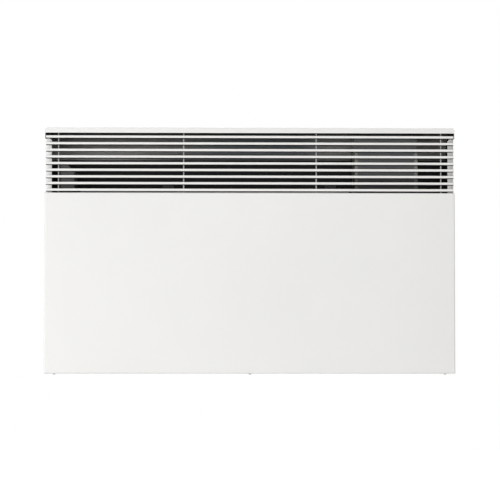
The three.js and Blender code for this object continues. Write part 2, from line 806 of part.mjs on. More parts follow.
function thermostatBody() {
  const shoulder = fasciaFloor - fasciaWall - fit;
  const crown = shoulder - thermostatBushHeight;
  const bore = shaftRadius + fit;
  const profile = [[0, crown - thermostatHeight], [thermostatRadius, crown - thermostatHeight],
    [thermostatRadius, crown], [thermostatBushRadius, crown], [thermostatBushRadius, shoulder],
    [bore, shoulder], [bore, crown - thermostatHeight / 2], [0, crown - thermostatHeight / 2]];
  const body = solid(turned(profile).translate(dialX, -dialOut, 0));
  const tag = (x) => block([x - 1.5, x + 1.5], [dialOut + thermostatRadius - 2,
    dialOut + thermostatRadius + 3], [crown - thermostatHeight, crown - thermostatHeight + 1]);
  return join(body, tag(dialX - 5), tag(dialX), tag(dialX + 5));
}

const dialBottom = fasciaFloor + 2 * fit;

function thermostatShaft() {
  const crown = fasciaFloor - fasciaWall - fit - thermostatBushHeight;
  return barZ(shaftRadius, dialX, dialOut,
    [crown - thermostatHeight / 2 + fit, dialBottom + dialHeight - 2 * fit - 1.2], 16);
}

// The dial: a skirt, a fluted cap and a raised grip bar with a pointed end.
function thermostatDial() {
  const capRadius = dialRadius - 2.5;
  const capTop = dialBottom + dialHeight;
  const body = solid(turned([[0, dialBottom], [dialRadius, dialBottom],
    [dialRadius, dialBottom + dialSkirt], [capRadius, dialBottom + dialSkirt + 0.8],
    [capRadius - 0.6, capTop - 1], [capRadius - 1.6, capTop], [0, capTop]], 24));
  const flutes = [];
  for (let i = 0; i < dialFlutes; i += 1) {
    const angle = (i / dialFlutes) * 2 * Math.PI;
    flutes.push(barZ(dialFluteRadius, (capRadius + 0.5) * Math.cos(angle),
      (capRadius + 0.5) * Math.sin(angle), [dialBottom + dialSkirt + 0.8, capTop + 1], 6));
  }
  const gripHalf = dialGripWidth / 2;
  const grip = alongZ([plan(-gripHalf, -capRadius + 2), plan(gripHalf, -capRadius + 2),
    plan(gripHalf, capRadius - 5), plan(0, capRadius - 1.5), plan(-gripHalf, capRadius - 5)],
  capTop - 1, capTop + 1.6);
  const bore = barZ(shaftRadius + fit, 0, 0, [dialBottom - 1, capTop - 1.2], 16);
  return cut(join(cut(body, ...flutes), grip), bore).translate([dialX, -dialOut, 0]);
}

function controlFascia() {
  const flangeTop = topInside - fit;
  const bottom = fasciaFloor - fasciaWall;
  const tray = alongZ(fasciaOpening(fasciaWall), bottom, flangeTop);
  const flange = alongZ(fasciaOpening(fasciaWall + fasciaFlange / 2), flangeTop - 1.2, flangeTop);
  const switchHole = block([switchX - switchWidth / 2 - fit, switchX + switchWidth / 2 + fit],
    [dialOut - switchDepth / 2 - fit, dialOut + switchDepth / 2 + fit],
    [bottom - 1, fasciaFloor + 1]);
  return cut(
    join(tray, flange),
    alongZ(fasciaOpening(), fasciaFloor, flangeTop + 1),
    barZ(shaftRadius + fit, dialX, dialOut, [bottom - 1, fasciaFloor + 1], 16),
    barZ(lensRadius + fit, lensX, dialOut, [bottom - 1, fasciaFloor + 1], 12),
    switchHole,
    ...fasciaScrewPositions().map(([x, out]) => (
      barZ(fasciaScrewRadius + fit, x, out, [bottom - 1, fasciaFloor + 1], 10))),
  );
}

function switchBody() {
  const bezelBottom = fasciaFloor + fit;
  const bezelTop = bezelBottom + switchBezelHeight;
  const bottom = fasciaFloor - switchBodyDrop;
  const x = (inset) => [switchX - switchWidth / 2 + inset, switchX + switchWidth / 2 - inset];
  const out = (inset) => [dialOut - switchDepth / 2 + inset, dialOut + switchDepth / 2 - inset];
  const cavityX = (switchWidth - rockerWidth) / 2 - fit;
  const cavityOut = (switchDepth - rockerLength) / 2 - 2 * fit;
  const bezelLine = rectangle(plan, x(-switchBezel), out(-switchBezel));
  const blade = (offset) => block([switchX - 2, switchX + 2],
    [dialOut + offset - 0.4, dialOut + offset + 0.4], [bottom - 7, bottom + 1]);
  return cut(
    join(
      block(x(0), out(0), [bottom, bezelBottom + 0.5]),
      alongZ(roundOff(bezelLine, 2, true), bezelBottom, bezelTop),
      blade(-7), blade(0), blade(7),
    ),
    block(x(cavityX), out(cavityOut), [pivotHeight - 7, bezelTop + 1]),
    barX(rockerPinRadius + fit, [switchX - rockerWidth / 2 - rockerPinLength - fit,
      switchX + rockerWidth / 2 + rockerPinLength + fit], dialOut, pivotHeight, 12),
  );
}

// Modelled level about its pivot and placed tilted, with its front end down.
function switchRocker() {
  const end = rockerLength / 2;
  const profile = [side(-end, rockerHorn), side(-end + 0.8, -2.6), side(end - 0.8, -2.6),
    side(end, rockerHorn), side(end / 2, (rockerHorn + rockerDip) / 2 - 0.25), side(0, rockerDip),
    side(-end / 2, (rockerHorn + rockerDip) / 2 - 0.25)];
  const halfWidth = rockerWidth / 2;
  const pinReach = halfWidth + rockerPinLength;
  return join(alongX(profile, -halfWidth, halfWidth),
    barX(rockerPinRadius, [-pinReach, pinReach], 0, 0, 12));
}

function pilotLens() {
  const seat = fasciaFloor + fit;
  const rim = lensRadius + 0.9;
  return solid(turned([[0, fasciaFloor - 4], [lensRadius, fasciaFloor - 4], [lensRadius, seat],
    [rim, seat], [rim, seat + 0.7], [lensRadius - 0.3, seat + 1.6], [0, seat + 2]], 12));
}

function fasciaScrew() {
  const seat = fasciaFloor + fit;
  return solid(turned([[0, fasciaFloor - fasciaScrewLength],
    [fasciaScrewRadius, fasciaFloor - fasciaScrewLength], [fasciaScrewRadius, seat],
    [fasciaScrewHead, seat], [fasciaScrewHead - 0.4, seat + 1.1], [0, seat + 1.4]], 10));
}

// ---- Supply, leads and sensor ------------------------------------------------------------

function terminalBlock() {
  const { width, depth, height } = terminalSize;
  const foot = inside + fit;
  const z = [terminalZ, terminalZ + height];
  const poles = [-1, 0, 1].map((pole) => barY(3.4, terminalX + pole * terminalPitch,
    [foot + depth - 1, foot + depth + 3], terminalZ + height / 2, 10));
  return join(block([terminalX - width / 2, terminalX + width / 2], [foot, foot + depth], z),
    ...poles);
}

const terminalMouth = (pole) => (
  spot(terminalX + pole * terminalPitch, inside + terminalSize.depth / 2,
    terminalZ + terminalSize.height + fit));

const connectorMouth = (x) => spot(x, boardFront + connectorDepth / 2, connectorBottom - fit);

// The place a given way along and away from a lead's end.
const beside = (end, x, out, z) => end.clone().add(spot(x, out, z));
const partWay = (a, b, share) => a + (b - a) * share;

function liveLead() {
  const start = terminalMouth(-1);
  const end = connectorMouth(start.x);
  const third = start.clone().lerp(end, 0.3).setY(start.y);
  const twoThirds = start.clone().lerp(end, 0.75).setY(end.y);
  return lead([start, third, twoThirds, end], 14);
}

function neutralLead() {
  const start = terminalMouth(0);
  const pin = spot(finStart - elementTubeEnd - elementPinLength / 2, elementOut,
    elementHeight - elementPinRadius - fit);
  const through = grommetOut + leadSpread;
  const run = elementHeight - finHeight / 2 - leadSag;
  const drop = finEnd + elementTubeEnd + elementPinLength + leadStub / 2;
  return lead([start, beside(start, 0, 0, leadStub), beside(start, -leadSag, leadBow, leadBow),
    spot(controlLeft + leadBow + leadStub / 2, through, grommetHeight + leadStub / 2),
    spot(controlLeft + leadStub, through, grommetHeight),
    spot(controlLeft - leadStub / 2, through, grommetHeight),
    spot(drop, through, elementHeight), spot(drop - 1, through, partWay(elementHeight, run, 0.45)),
    spot(finEnd + leadStub / 2, elementOut, run), spot((finStart + finEnd) / 2, elementOut, run),
    spot(finStart, elementOut, run), beside(pin, 0, 0, -2 * leadBow), pin], 44);
}

function switchedLead() {
  const start = connectorMouth(controlLeft + leadBow + leadStub);
  const through = grommetOut - leadSpread;
  const blade = shieldFront + cutoutDepth + fit + leadRadius * 3;
  const end = spot(cutoutX + cutoutBlade, blade, cutoutZ - 3 - fit);
  return lead([start, beside(start, 0, 0, -2 * leadBow),
    spot(controlLeft + leadBow, through, partWay(grommetHeight, start.z, 0.36)),
    spot(controlLeft + leadStub, through, grommetHeight + leadStub / 2),
    spot(controlLeft, through, grommetHeight),
    spot(controlLeft - leadStub, through, grommetHeight + leadStub / 2),
    spot(partWay(cutoutX, controlLeft, 0.5), partWay(blade, through, 0.5),
      partWay(grommetHeight, cutoutZ, 0.45)),
    beside(end, leadStub, 2, -leadBow), beside(end, 0, 0, -leadStub), end], 26);
}

function linkLead() {
  const blade = shieldFront + cutoutDepth + fit + leadRadius * 3;
  const start = spot(cutoutX - cutoutBlade, blade, cutoutZ - 3 - fit);
  const pinX = finEnd + elementTubeEnd + elementPinLength / 2;
  const end = spot(pinX, elementOut, elementHeight + elementPinRadius + fit);
  const over = partWay(elementHeight, cutoutZ, 0.5);
  return lead([start, beside(start, 0, 0, -leadStub), beside(start, 2, 6, -3 * leadStub),
    spot(partWay(start.x, pinX, 0.45), elementOut, over),
    spot(pinX - leadStub, elementOut, over - 2), beside(end, 0, 0, 2.5 * leadStub), end], 22);
}

function earthLead() {
  const start = terminalMouth(1);
  const end = spot(earthX, inside + 6, earthZ + earthNutRadius + fit);
  return lead([start, beside(start, 0, 0, leadStub), beside(start, leadStub, 4, leadSag),
    spot(earthX - leadStub, inside + leadBow, start.z + leadBow),
    beside(end, 0, 4, 2 * leadBow - leadStub), end], 16);
}

function earthStud() {
  const foot = inside + fit;
  return join(barY(earthStudRadius, earthX, [foot, foot + 10], earthZ, 8),
    barY(earthNutRadius, earthX, [foot + 3, foot + 6], earthZ, 6));
}

function roomSensor() {
  const floor = inletFloor + sheet + fit;
  const foot = block([sensorX - 6, sensorX + 6], [sensorOut - 5, sensorOut + 5],
    [floor, floor + 1.2]);
  const bulbBottom = sensorHeight - sensorBulbLength;
  const bulb = solid(turned([[0, floor + 0.6], [2.2, floor + 0.6], [2.2, bulbBottom - 2],
    [4, bulbBottom], [4, sensorHeight - 3], [2.4, sensorHeight], [0, sensorHeight]], 12)
    .translate(sensorX, -sensorOut, 0));
  return join(foot, bulb);
}

function sensorLead() {
  const start = spot(sensorX, sensorOut, sensorHeight + fit);
  const end = connectorMouth(controlRight - connectorInset);
  return lead([start, beside(start, 2, 0, partWay(0, channelBottom, 0.3)),
    spot(sensorX, sensorOut, channelBottom - leadBow), beside(end, 0, 0, -2 * leadBow), end], 20);
}

// The inlet for the supply lead, through the casing's back.
function cordGland() {
  const flange = 3;
  const shape = join(
    barY(glandThread, glandX, [back - fit - flange, inside + glandTail], glandZ, 16),
    barY(glandHead, glandX, [back - fit - flange, back - fit], glandZ, 16),
    barY(glandHead - 1, glandX, [back - fit - glandReach, back - fit - flange + 0.5], glandZ, 6),
  );
  return cut(shape, barY(glandBore, glandX, [0, inside + glandTail + 1], glandZ, 16));
}

function glandNut() {
  const seat = inside + fit;
  return cut(barY(glandHead + 1.5, glandX, [seat, seat + glandNutThickness], glandZ, 6),
    barY(glandThread + fit, glandX, [seat - 1, seat + glandNutThickness + 1], glandZ, 16));
}

// ---- Wall bracket ------------------------------------------------------------------------

function upright(x) {
  const reach = back - fit;
  const edge = uprightWidth / 2;
  const line = [plan(x + edge, reach), plan(x + edge, 0), plan(x - edge, 0), plan(x - edge, reach)];
  return alongZ(bentSheet(roundOff(line, 2), bracketSheet), hookHeight + 1.5, catchHeight + 8);
}

function hook(x) {
  const bottom = hookHeight - fit - bracketSheet;
  const tip = inside + hookTipClearance + bracketSheet;
  const line = [side(tip, hookHeight + hookTipHeight), side(tip, bottom), side(0, bottom)];
  const tongue = alongX(bentSheet(roundOff(line, 2), bracketSheet),
    x - hookWidth / 2, x + hookWidth / 2);
  const web = block([x - hookWidth / 2 + 1, x + hookWidth / 2 - 1], [0, bracketSheet],
    [bottom, hookHeight + 8]);
  return join(tongue, web);
}

function rail(z) {
  const line = [side(railDepth, z - railHeight / 2), side(0, z - railHeight / 2),
    side(0, z + railHeight / 2), side(railDepth, z + railHeight / 2)];
  const reach = hookX - uprightWidth / 2 + bracketSheet / 2;
  return alongX(bentSheet(roundOff(line, 2), bracketSheet), -reach, reach);
}

function wallBracket() {
  const pieces = [-hookX, hookX].flatMap((x) => [upright(x), hook(x)]);
  const rails = [lowerRailHeight, upperRailHeight];
  const through = [-1, bracketSheet + 1];
  const keyhole = (x) => join(
    barY(wallHoleRadius, x, through, upperRailHeight, 16),
    barY(wallSlotRadius, x, through, upperRailHeight + wallSlotRise, 12),
    block([x - wallSlotRadius, x + wallSlotRadius], through,
      [upperRailHeight, upperRailHeight + wallSlotRise]),
  );
  const oblong = (x) => alongY(roundOff(rectangle(face,
    [x - wallHoleRadius - wallSlotPlay, x + wallHoleRadius + wallSlotPlay],
    [lowerRailHeight - wallHoleRadius, lowerRailHeight + wallHoleRadius]),
  wallHoleRadius * 0.98, true, 4), ...through);
  const holes = [-1, 1].flatMap((way) => {
    const x = way * wallHoleSpacing / 2;
    return [keyhole(x), oblong(x)];
  });
  return cut(join(...pieces, ...rails.map(rail)), ...holes);
}

// A leaf spring that reaches through the casing's back and hooks down in front of it.
function springCatch() {
  const web = bracketSheet + fit;
  const tip = inside + catchPlay + thinSheet;
  const line = [side(web, catchHeight - catchFoot), side(web, catchHeight),
    side(tip, catchHeight), side(tip, catchHeight - catchTip)];
  return alongX(bentSheet(roundOff(line, 1.5), thinSheet), -catchWidth / 2, catchWidth / 2);
}

// ---- Materials ---------------------------------------------------------------------------

const finish = (color, roughness, metalness = 0) => (
  new THREE.MeshStandardMaterial({ color, roughness, metalness }));

const paint = finish(0xebe9e6, 0.42);
const rodPaint = finish(0xdcdad6, 0.45);
const galvanised = finish(0x9c9e9c, 0.5, 0.8);
const aluminised = finish(0x8d8f90, 0.45, 0.85);
const aluminium = finish(0xb9bcbe, 0.38, 0.9);
const zinc = finish(0xa9a690, 0.4, 0.85);
const ceramic = finish(0xe8e2d4, 0.6);
const greyPlastic = finish(0x4c4e50, 0.6);
const palePlastic = finish(0xe2e1dd, 0.5);
const blackPlastic = finish(0x222324, 0.55);
const board = finish(0x2f5b3a, 0.6);
const lens = finish(0xc8452e, 0.2);
const wire = (color) => finish(color, 0.55);

// ---- Assembly ----------------------------------------------------------------------------

function piece(parent, name, shape, material, [x, out, z] = [0, 0, 0]) {
  const { vertProperties, triVerts } = shape.getMesh();
  const geometry = new THREE.BufferGeometry();
  geometry.setAttribute('position', new THREE.BufferAttribute(vertProperties, 3));
  geometry.setIndex(new THREE.BufferAttribute(triVerts, 1));
  const mesh = new THREE.Mesh(geometry, material);
  mesh.name = name;
  mesh.position.set(x, -out, z);
  parent.add(mesh);
  return mesh;
}

function casingGroup() {
  const group = new THREE.Group();
  piece(group, 'rear_casing', rearCasing(), paint);
  piece(group, 'front_panel', frontPanel(), paint);
  piece(group, 'inlet_grille', inletGrille(), galvanised);
  const slatShape = slat();
  for (let i = 0; i < slatCount; i += 1) {
    const z = slatTop - slatHeight - i * slatPitch;
    piece(group, `slat_${i + 1}`, slatShape, paint, [0, 0, z]);
  }
  const rodShape = grilleRod();
  rodPositions().forEach((x, i) => {
    piece(group, `grille_rod_${i + 1}`, rodShape, rodPaint, [x, rodOut, 0]);
  });
  const screwShape = panelScrew();
  const places = ['left', 'middle', 'right'];
  panelScrewPositions().forEach((x, i) => {
    piece(group, `panel_screw_${places[i]}`, screwShape, zinc, [x, front - panelScrewSetback, 0]);
  });
  return group;
}

function ductGroup() {
  const group = new THREE.Group();
  const leftBracket = finStart - elementBracketGap;
  const rightBracket = finEnd + elementBracketGap;
  piece(group, 'air_deflector', airDeflector(), aluminised);
  piece(group, 'rear_heat_shield', rearShield(), aluminised);
  piece(group, 'front_heat_shield', frontShield(), aluminised);
  piece(group, 'side_baffle_left', leftBaffle(), galvanised);
  piece(group, 'side_baffle_right', rightBaffle(), galvanised);
  piece(group, 'lead_grommet', leadGrommet(), blackPlastic);
  piece(group, 'heating_element', heatingElement(), aluminium);
  piece(group, 'element_bracket_left', elementBracket(leftBracket, -1), galvanised);
  piece(group, 'element_bracket_right', elementBracket(rightBracket, 1), galvanised);
  piece(group, 'element_bush_left', elementBush(leftBracket, -1), ceramic);
  piece(group, 'element_bush_right', elementBush(rightBracket, 1), ceramic);
  piece(group, 'thermal_cutout', thermalCutout(), blackPlastic);
  return group;
}

function controlGroup() {
  const group = new THREE.Group();
  piece(group, 'control_channel', controlChannel(), zinc);
  piece(group, 'control_housing', controlHousing(), greyPlastic);
  piece(group, 'circuit_board', circuitBoard(), board);
  piece(group, 'thermostat_body', thermostatBody(), blackPlastic);
  piece(group, 'thermostat_shaft', thermostatShaft(), zinc);
  piece(group, 'thermostat_dial', thermostatDial(), palePlastic);
  piece(group, 'control_fascia', controlFascia(), palePlastic);
  piece(group, 'switch_body', switchBody(), blackPlastic);
  const rocker = piece(group, 'switch_rocker', switchRocker(), palePlastic,
    [switchX, dialOut, pivotHeight]);
  rocker.rotation.x = THREE.MathUtils.degToRad(rockerTilt);
  piece(group, 'pilot_lens', pilotLens(), lens, [lensX, dialOut, 0]);
  fasciaScrewPositions().forEach(([x, out], i) => {
    piece(group, `fascia_screw_${['left', 'right'][i]}`, fasciaScrew(), zinc, [x, out, 0]);
  });
  return group;
}

function supplyGroup() {
  const group = new THREE.Group();
  piece(group, 'terminal_block', terminalBlock(), palePlastic);
  piece(group, 'lead_live', liveLead(), wire(0x6b3f26));
  piece(group, 'lead_neutral', neutralLead(), wire(0x2f5f9e));
  piece(group, 'lead_switched', switchedLead(), wire(0x7a2c22));
  piece(group, 'lead_link', linkLead(), wire(0x7a2c22));
  piece(group, 'lead_earth', earthLead(), wire(0x8fa03a));
  piece(group, 'earth_stud', earthStud(), zinc);
  piece(group, 'room_sensor', roomSensor(), palePlastic);
  piece(group, 'sensor_lead', sensorLead(), wire(0x8a8c8e));
  piece(group, 'cord_gland', cordGland(), blackPlastic);
  piece(group, 'gland_nut', glandNut(), blackPlastic);
  return group;
}

function bracketGroup() {
  const group = new THREE.Group();
  piece(group, 'wall_bracket', wallBracket(), galvanised);
  const catchShape = springCatch();
  piece(group, 'catch_left', catchShape, zinc, [-hookX, 0, 0]);
  piece(group, 'catch_right', catchShape, zinc, [hookX, 0, 0]);
  return group;
}

const heater = new THREE.Group();
heater.add(casingGroup(), ductGroup(), controlGroup(), supplyGroup(), bracketGroup());
heater.position.z = -upperRailHeight;

export default heater;
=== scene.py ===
import json
import math

import bmesh
import bpy
from mathutils import Matrix, Vector

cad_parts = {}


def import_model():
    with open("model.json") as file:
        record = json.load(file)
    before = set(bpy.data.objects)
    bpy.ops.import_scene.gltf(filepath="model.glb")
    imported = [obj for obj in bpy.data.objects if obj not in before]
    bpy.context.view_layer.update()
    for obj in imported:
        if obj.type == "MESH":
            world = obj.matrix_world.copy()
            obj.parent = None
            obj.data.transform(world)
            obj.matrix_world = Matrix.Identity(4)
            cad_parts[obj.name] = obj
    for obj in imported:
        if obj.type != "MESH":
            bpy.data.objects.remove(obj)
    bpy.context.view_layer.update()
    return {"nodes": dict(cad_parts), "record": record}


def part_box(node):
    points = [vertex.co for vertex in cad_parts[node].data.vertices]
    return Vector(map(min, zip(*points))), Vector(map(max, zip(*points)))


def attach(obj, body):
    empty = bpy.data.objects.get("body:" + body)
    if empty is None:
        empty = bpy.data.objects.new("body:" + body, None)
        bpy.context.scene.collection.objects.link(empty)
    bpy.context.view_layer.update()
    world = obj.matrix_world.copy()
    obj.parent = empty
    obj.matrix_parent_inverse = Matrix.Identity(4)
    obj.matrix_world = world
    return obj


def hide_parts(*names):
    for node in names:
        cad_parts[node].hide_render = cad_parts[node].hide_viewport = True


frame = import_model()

# ---- Measures of the frame, in metres ----------------------------------------------------

NODES = frame["nodes"]
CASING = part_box("rear_casing")
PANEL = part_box("front_panel")
MM = 0.001


THIN_SHEET = 0.8 * MM


def middle(node):
    low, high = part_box(node)
    return (low + high) / 2


def in_mm(pairs):
    return [(u * MM, v * MM) for u, v in pairs]


# ---- Camera ------------------------------------------------------------------------------

CAMERA_DISTANCE = 3.0
CAMERA_YAW = math.radians(0.9)      # to the left of the heater's middle
CAMERA_DROP = math.radians(2.2)     # below it, looking up
CAMERA_ROLL = math.radians(0.045)
TARGET_HEIGHT = 0.2224              # above the casing's foot
CAMERA_TARGET = Vector((0.0, PANEL[0].y, CASING[0].z + TARGET_HEIGHT))
SENSOR_WIDTH = 36.0
FOCAL_LENGTH = 119.9
FARTHEST = 60.0

camera_data = bpy.data.cameras.new("camera")
camera_data.sensor_width = SENSOR_WIDTH
camera_data.lens = FOCAL_LENGTH
camera_data.clip_end = FARTHEST
camera = bpy.data.objects.new("camera", camera_data)
bpy.context.scene.collection.objects.link(camera)
view_from = Vector((
    -math.sin(CAMERA_YAW) * math.cos(CAMERA_DROP),
    -math.cos(CAMERA_YAW) * math.cos(CAMERA_DROP),
    -math.sin(CAMERA_DROP),
))
camera.location = CAMERA_TARGET + CAMERA_DISTANCE * view_from
aim = (-view_from).to_track_quat("-Z", "Y").to_matrix() @ Matrix.Rotation(CAMERA_ROLL, 3, "Z")
camera.rotation_euler = aim.to_euler()
bpy.context.scene.camera = camera


# ---- Materials ---------------------------------------------------------------------------

SHADE_BAND_DRIFT = 4 * MM      # how far the edge of a band of painted shade wanders


class Graph:
    """The nodes of one material, around a Principled shader."""

    def __init__(self, name, metallic=0.0, **shader):
        self.material = bpy.data.materials.new(name)
        self.material.use_nodes = True
        self.tree = self.material.node_tree
        self.shader = self.tree.nodes["Principled BSDF"]
        self.shader.inputs["Metallic"].default_value = metallic
        for key, value in shader.items():
            self.shader.inputs[key.replace("_", " ")].default_value = value
        self.place = self.node("ShaderNodeTexCoord").outputs["Object"]
        self.rounded = None

    def node(self, kind, links=None, **settings):
        made = self.tree.nodes.new(kind)
        for key, value in settings.items():
            setattr(made, key, value)
        for key, value in (links or {}).items():
            self.feed(made.inputs[key], value)
        return made

    def feed(self, socket, value):
        if isinstance(value, bpy.types.NodeSocket):
            self.tree.links.new(value, socket)
        elif socket.type == "RGBA" and isinstance(value, (tuple, list)):
            socket.default_value = (*value[:3], 1.0)
        else:
            socket.default_value = value

    def stretched(self, scale, turn=(0.0, 0.0, 0.0)):
        return self.node("ShaderNodeMapping", {
            "Vector": self.place, "Scale": scale, "Rotation": turn}).outputs["Vector"]

    def noise(self, scale, detail=2.0, roughness=0.5, place=None, output="Fac"):
        return self.node("ShaderNodeTexNoise", {
            "Vector": place or self.place, "Scale": scale, "Detail": detail,
            "Roughness": roughness}).outputs[output]

    def cells(self, scale, output="Distance", place=None, randomness=1.0):
        return self.node("ShaderNodeTexVoronoi", {
            "Vector": place or self.place, "Scale": scale,
            "Randomness": randomness}).outputs[output]

    def math(self, operation, a, b=0.0):
        return self.node("ShaderNodeMath", {0: a, 1: b}, operation=operation).outputs["Value"]

    def vector(self, operation, a, b=(0.0, 0.0, 0.0), output="Vector"):
        return self.node("ShaderNodeVectorMath", {0: a, 1: b},
                         operation=operation).outputs[output]

    def axis(self, name, place=None):
        return self.node("ShaderNodeSeparateXYZ", {0: place or self.place}).outputs[name]

    def span(self, value, low, high, to_low=0.0, to_high=1.0, smooth=False):
        return self.node("ShaderNodeMapRange", {
            "Value": value, "From Min": low, "From Max": high, "To Min": to_low,
            "To Max": to_high}, interpolation_type="SMOOTHSTEP" if smooth else "LINEAR",
        ).outputs["Result"]

    def mix(self, factor, a, b):
        """From colour a at 0 to colour b at 1; the numbers are the node's colour sockets."""
        return self.node("ShaderNodeMix", {0: factor, 6: a, 7: b}, data_type="RGBA").outputs[2]

    def flat_distance(self, centre=(0.0, 0.0, 0.0)):
        """How far a point lies from a centre, seen from above."""
        away = self.vector("SUBTRACT", self.place, tuple(centre))
        return self.vector("LENGTH", self.vector("MULTIPLY", away, (1.0, 1.0, 0.0)),
                           output="Value")

    def bump(self, height, distance, strength=1.0):
        links = {"Height": height, "Distance": distance, "Strength": strength}
        if self.rounded:
            links["Normal"] = self.rounded
        return self.node("ShaderNodeBump", links).outputs["Normal"]

    def soften(self, radius):
        """Rounds the look of the edges, and gives 0 on the flats and 1 at the edges."""
        self.rounded = self.node("ShaderNodeBevel", {"Radius": radius}, samples=4).outputs[0]
        true = self.node("ShaderNodeNewGeometry").outputs["True Normal"]
        facing = self.vector("DOT_PRODUCT", self.rounded, true, output="Value")
        return self.span(facing, 0.995, 0.82)

    def own_normal(self):
        """The true normal in the object's own axes, so that it turns with the body."""
        true = self.node("ShaderNodeNewGeometry").outputs["True Normal"]
        return self.node("ShaderNodeVectorTransform", {"Vector": true}, vector_type="NORMAL",
                         convert_from="WORLD", convert_to="OBJECT").outputs["Vector"]

    def scaled(self, tone, factor):
        return self.node("ShaderNodeVectorMath", {0: tone, "Scale": factor},
                         operation="SCALE").outputs["Vector"]

    def deepened(self, tone, bands):
        """Painted shade by height: each band gives the height where the tone is clear, the height
        from which on it is lowered in full, and the share of it that is left there."""
        if not bands:
            return tone
        drift = self.math("MULTIPLY", self.noise(60.0), SHADE_BAND_DRIFT)
        level = self.math("ADD", self.axis("Z"), drift)
        for clear, dark, share in bands:
            factor = self.span(level, clear + SHADE_BAND_DRIFT / 2, dark + SHADE_BAND_DRIFT / 2,
                               1.0, share, smooth=True)
            tone = self.scaled(tone, factor)
        return tone

    def finish(self, colour, rough, normal=None):
        self.feed(self.shader.inputs["Base Color"], colour)
        self.feed(self.shader.inputs["Roughness"], rough)
        if normal or self.rounded:
            self.feed(self.shader.inputs["Normal"], normal or self.rounded)
        return self.material


def varied(colour, by):
    return tuple(max(0.0, min(1.0, c * by)) for c in colour)


def paler(colour, share):
    return tuple(c + (1.0 - c) * share for c in colour)


BEAD_DEPTH = 2.6 * MM         # the back's beads are less deep than this
TOP_EDGE_DEPTH = 1.1 * MM     # and so is the sheet's edge round the recess in the top


def walls_of_pressings(g, normal):
    """1 on the short walls of the back's beads and welds and of the top's recess, else 0."""
    found = []
    for axis, level in (("Y", CASING[1].y - BEAD_DEPTH), ("Z", CASING[1].z - TOP_EDGE_DEPTH)):
        close = g.math("GREATER_THAN", g.axis(axis), level)
        facing = g.math("ABSOLUTE", g.axis(axis, normal))
        found.append(g.math("MULTIPLY", close, g.math("LESS_THAN", facing, 0.8)))
    return g.math("MAXIMUM", *found)


def powder_coat(name, colour, inner):
    """White powder coat with a fine orange peel; the inner faces carry a dark coat made near
    black, painted shade for the closed inside.
    """
    g = Graph(name, Specular_IOR_Level=0.42)
    edge = g.soften(0.6 * MM)
    drift = g.noise(5.0, 3.0)
    speck = g.noise(1500.0, 1.0)
    tone = g.mix(g.span(drift, 0.3, 0.7), varied(colour, 0.985), varied(colour, 1.012))
    tone = g.mix(g.span(speck, 0.68, 0.8, 0.0, 0.35), tone, varied(colour, 0.88))
    # Darker along edges and folds: painted shade.
    tone = g.mix(g.math("MULTIPLY", edge, 0.22), tone, varied(colour, 0.86))
    if inner:
        centre = (CASING[0] + CASING[1]) / 2
        normal = g.own_normal()
        away = g.vector("SUBTRACT", g.place, tuple(centre))
        outwards = g.vector("DOT_PRODUCT", away, normal, output="Value")
        blotch = g.noise(38.0, 4.0, 0.6)
        shade_coat = g.mix(blotch, varied(inner, 0.82), varied(inner, 1.15))
        # The inner faces get the near-black coat: painted shade for the closed inside.
        within = g.math("MULTIPLY", g.math("LESS_THAN", outwards, 0.0),
                        g.math("SUBTRACT", 1.0, walls_of_pressings(g, normal)))
        tone = g.mix(within, tone, shade_coat)
        g.feed(g.shader.inputs["Specular IOR Level"], g.span(within, 0.0, 1.0, 0.42, 0.12))
    peel = g.noise(620.0, 2.0, 0.45)
    fine = g.noise(2600.0, 1.0)
    height = g.math("ADD", peel, g.math("MULTIPLY", fine, 0.3))
    rough = g.span(g.noise(90.0, 3.0), 0.25, 0.75, 0.40, 0.50)
    return g.finish(tone, rough, g.bump(height, 0.05 * MM, 0.55))


def galvanised(name, colour, metallic=0.8, deep=()):
    """Zinc spangle: flat crystals of differing tone, with a fine frost over them."""
    g = Graph(name, metallic)
    edge = g.soften(0.4 * MM)
    warped = g.vector("ADD", g.place, g.scaled(g.noise(60.0, output="Color"), 6 * MM))
    crystal = g.axis("X", g.cells(170.0, output="Color", place=warped))
    frost = g.noise(1300.0, 3.0, 0.7)
    tone = g.mix(crystal, varied(colour, 0.85), varied(colour, 1.15))
    tone = g.mix(g.span(frost, 0.35, 0.75, 0.0, 0.4), tone, varied(colour, 1.3))
    # Lighter along edges: painted highlight.
    tone = g.mix(g.math("MULTIPLY", edge, 0.4), tone, varied(colour, 1.5))
    tone = g.deepened(tone, deep)
    rough = g.math("ADD", g.span(crystal, 0.0, 1.0, 0.42, 0.53), g.math("MULTIPLY", frost, 0.08))
    return g.finish(tone, rough, g.bump(frost, 0.03 * MM, 0.4))


# Along X, where each tint of painted light and shade starts to show and where it shows in full.
PAINTED_LIGHT_LEFT, PAINTED_LIGHT_RIGHT, FREE_OF_PAINTED_SHADE = (0.0, -0.21), (0.08, 0.17), (-0.12, -0.28)
# Along Z, likewise: the heat tint, and its turn from straw to blue.
HEAT_TINT, HEAT_BLUE = (-0.02, -0.14), (-0.10, -0.17)


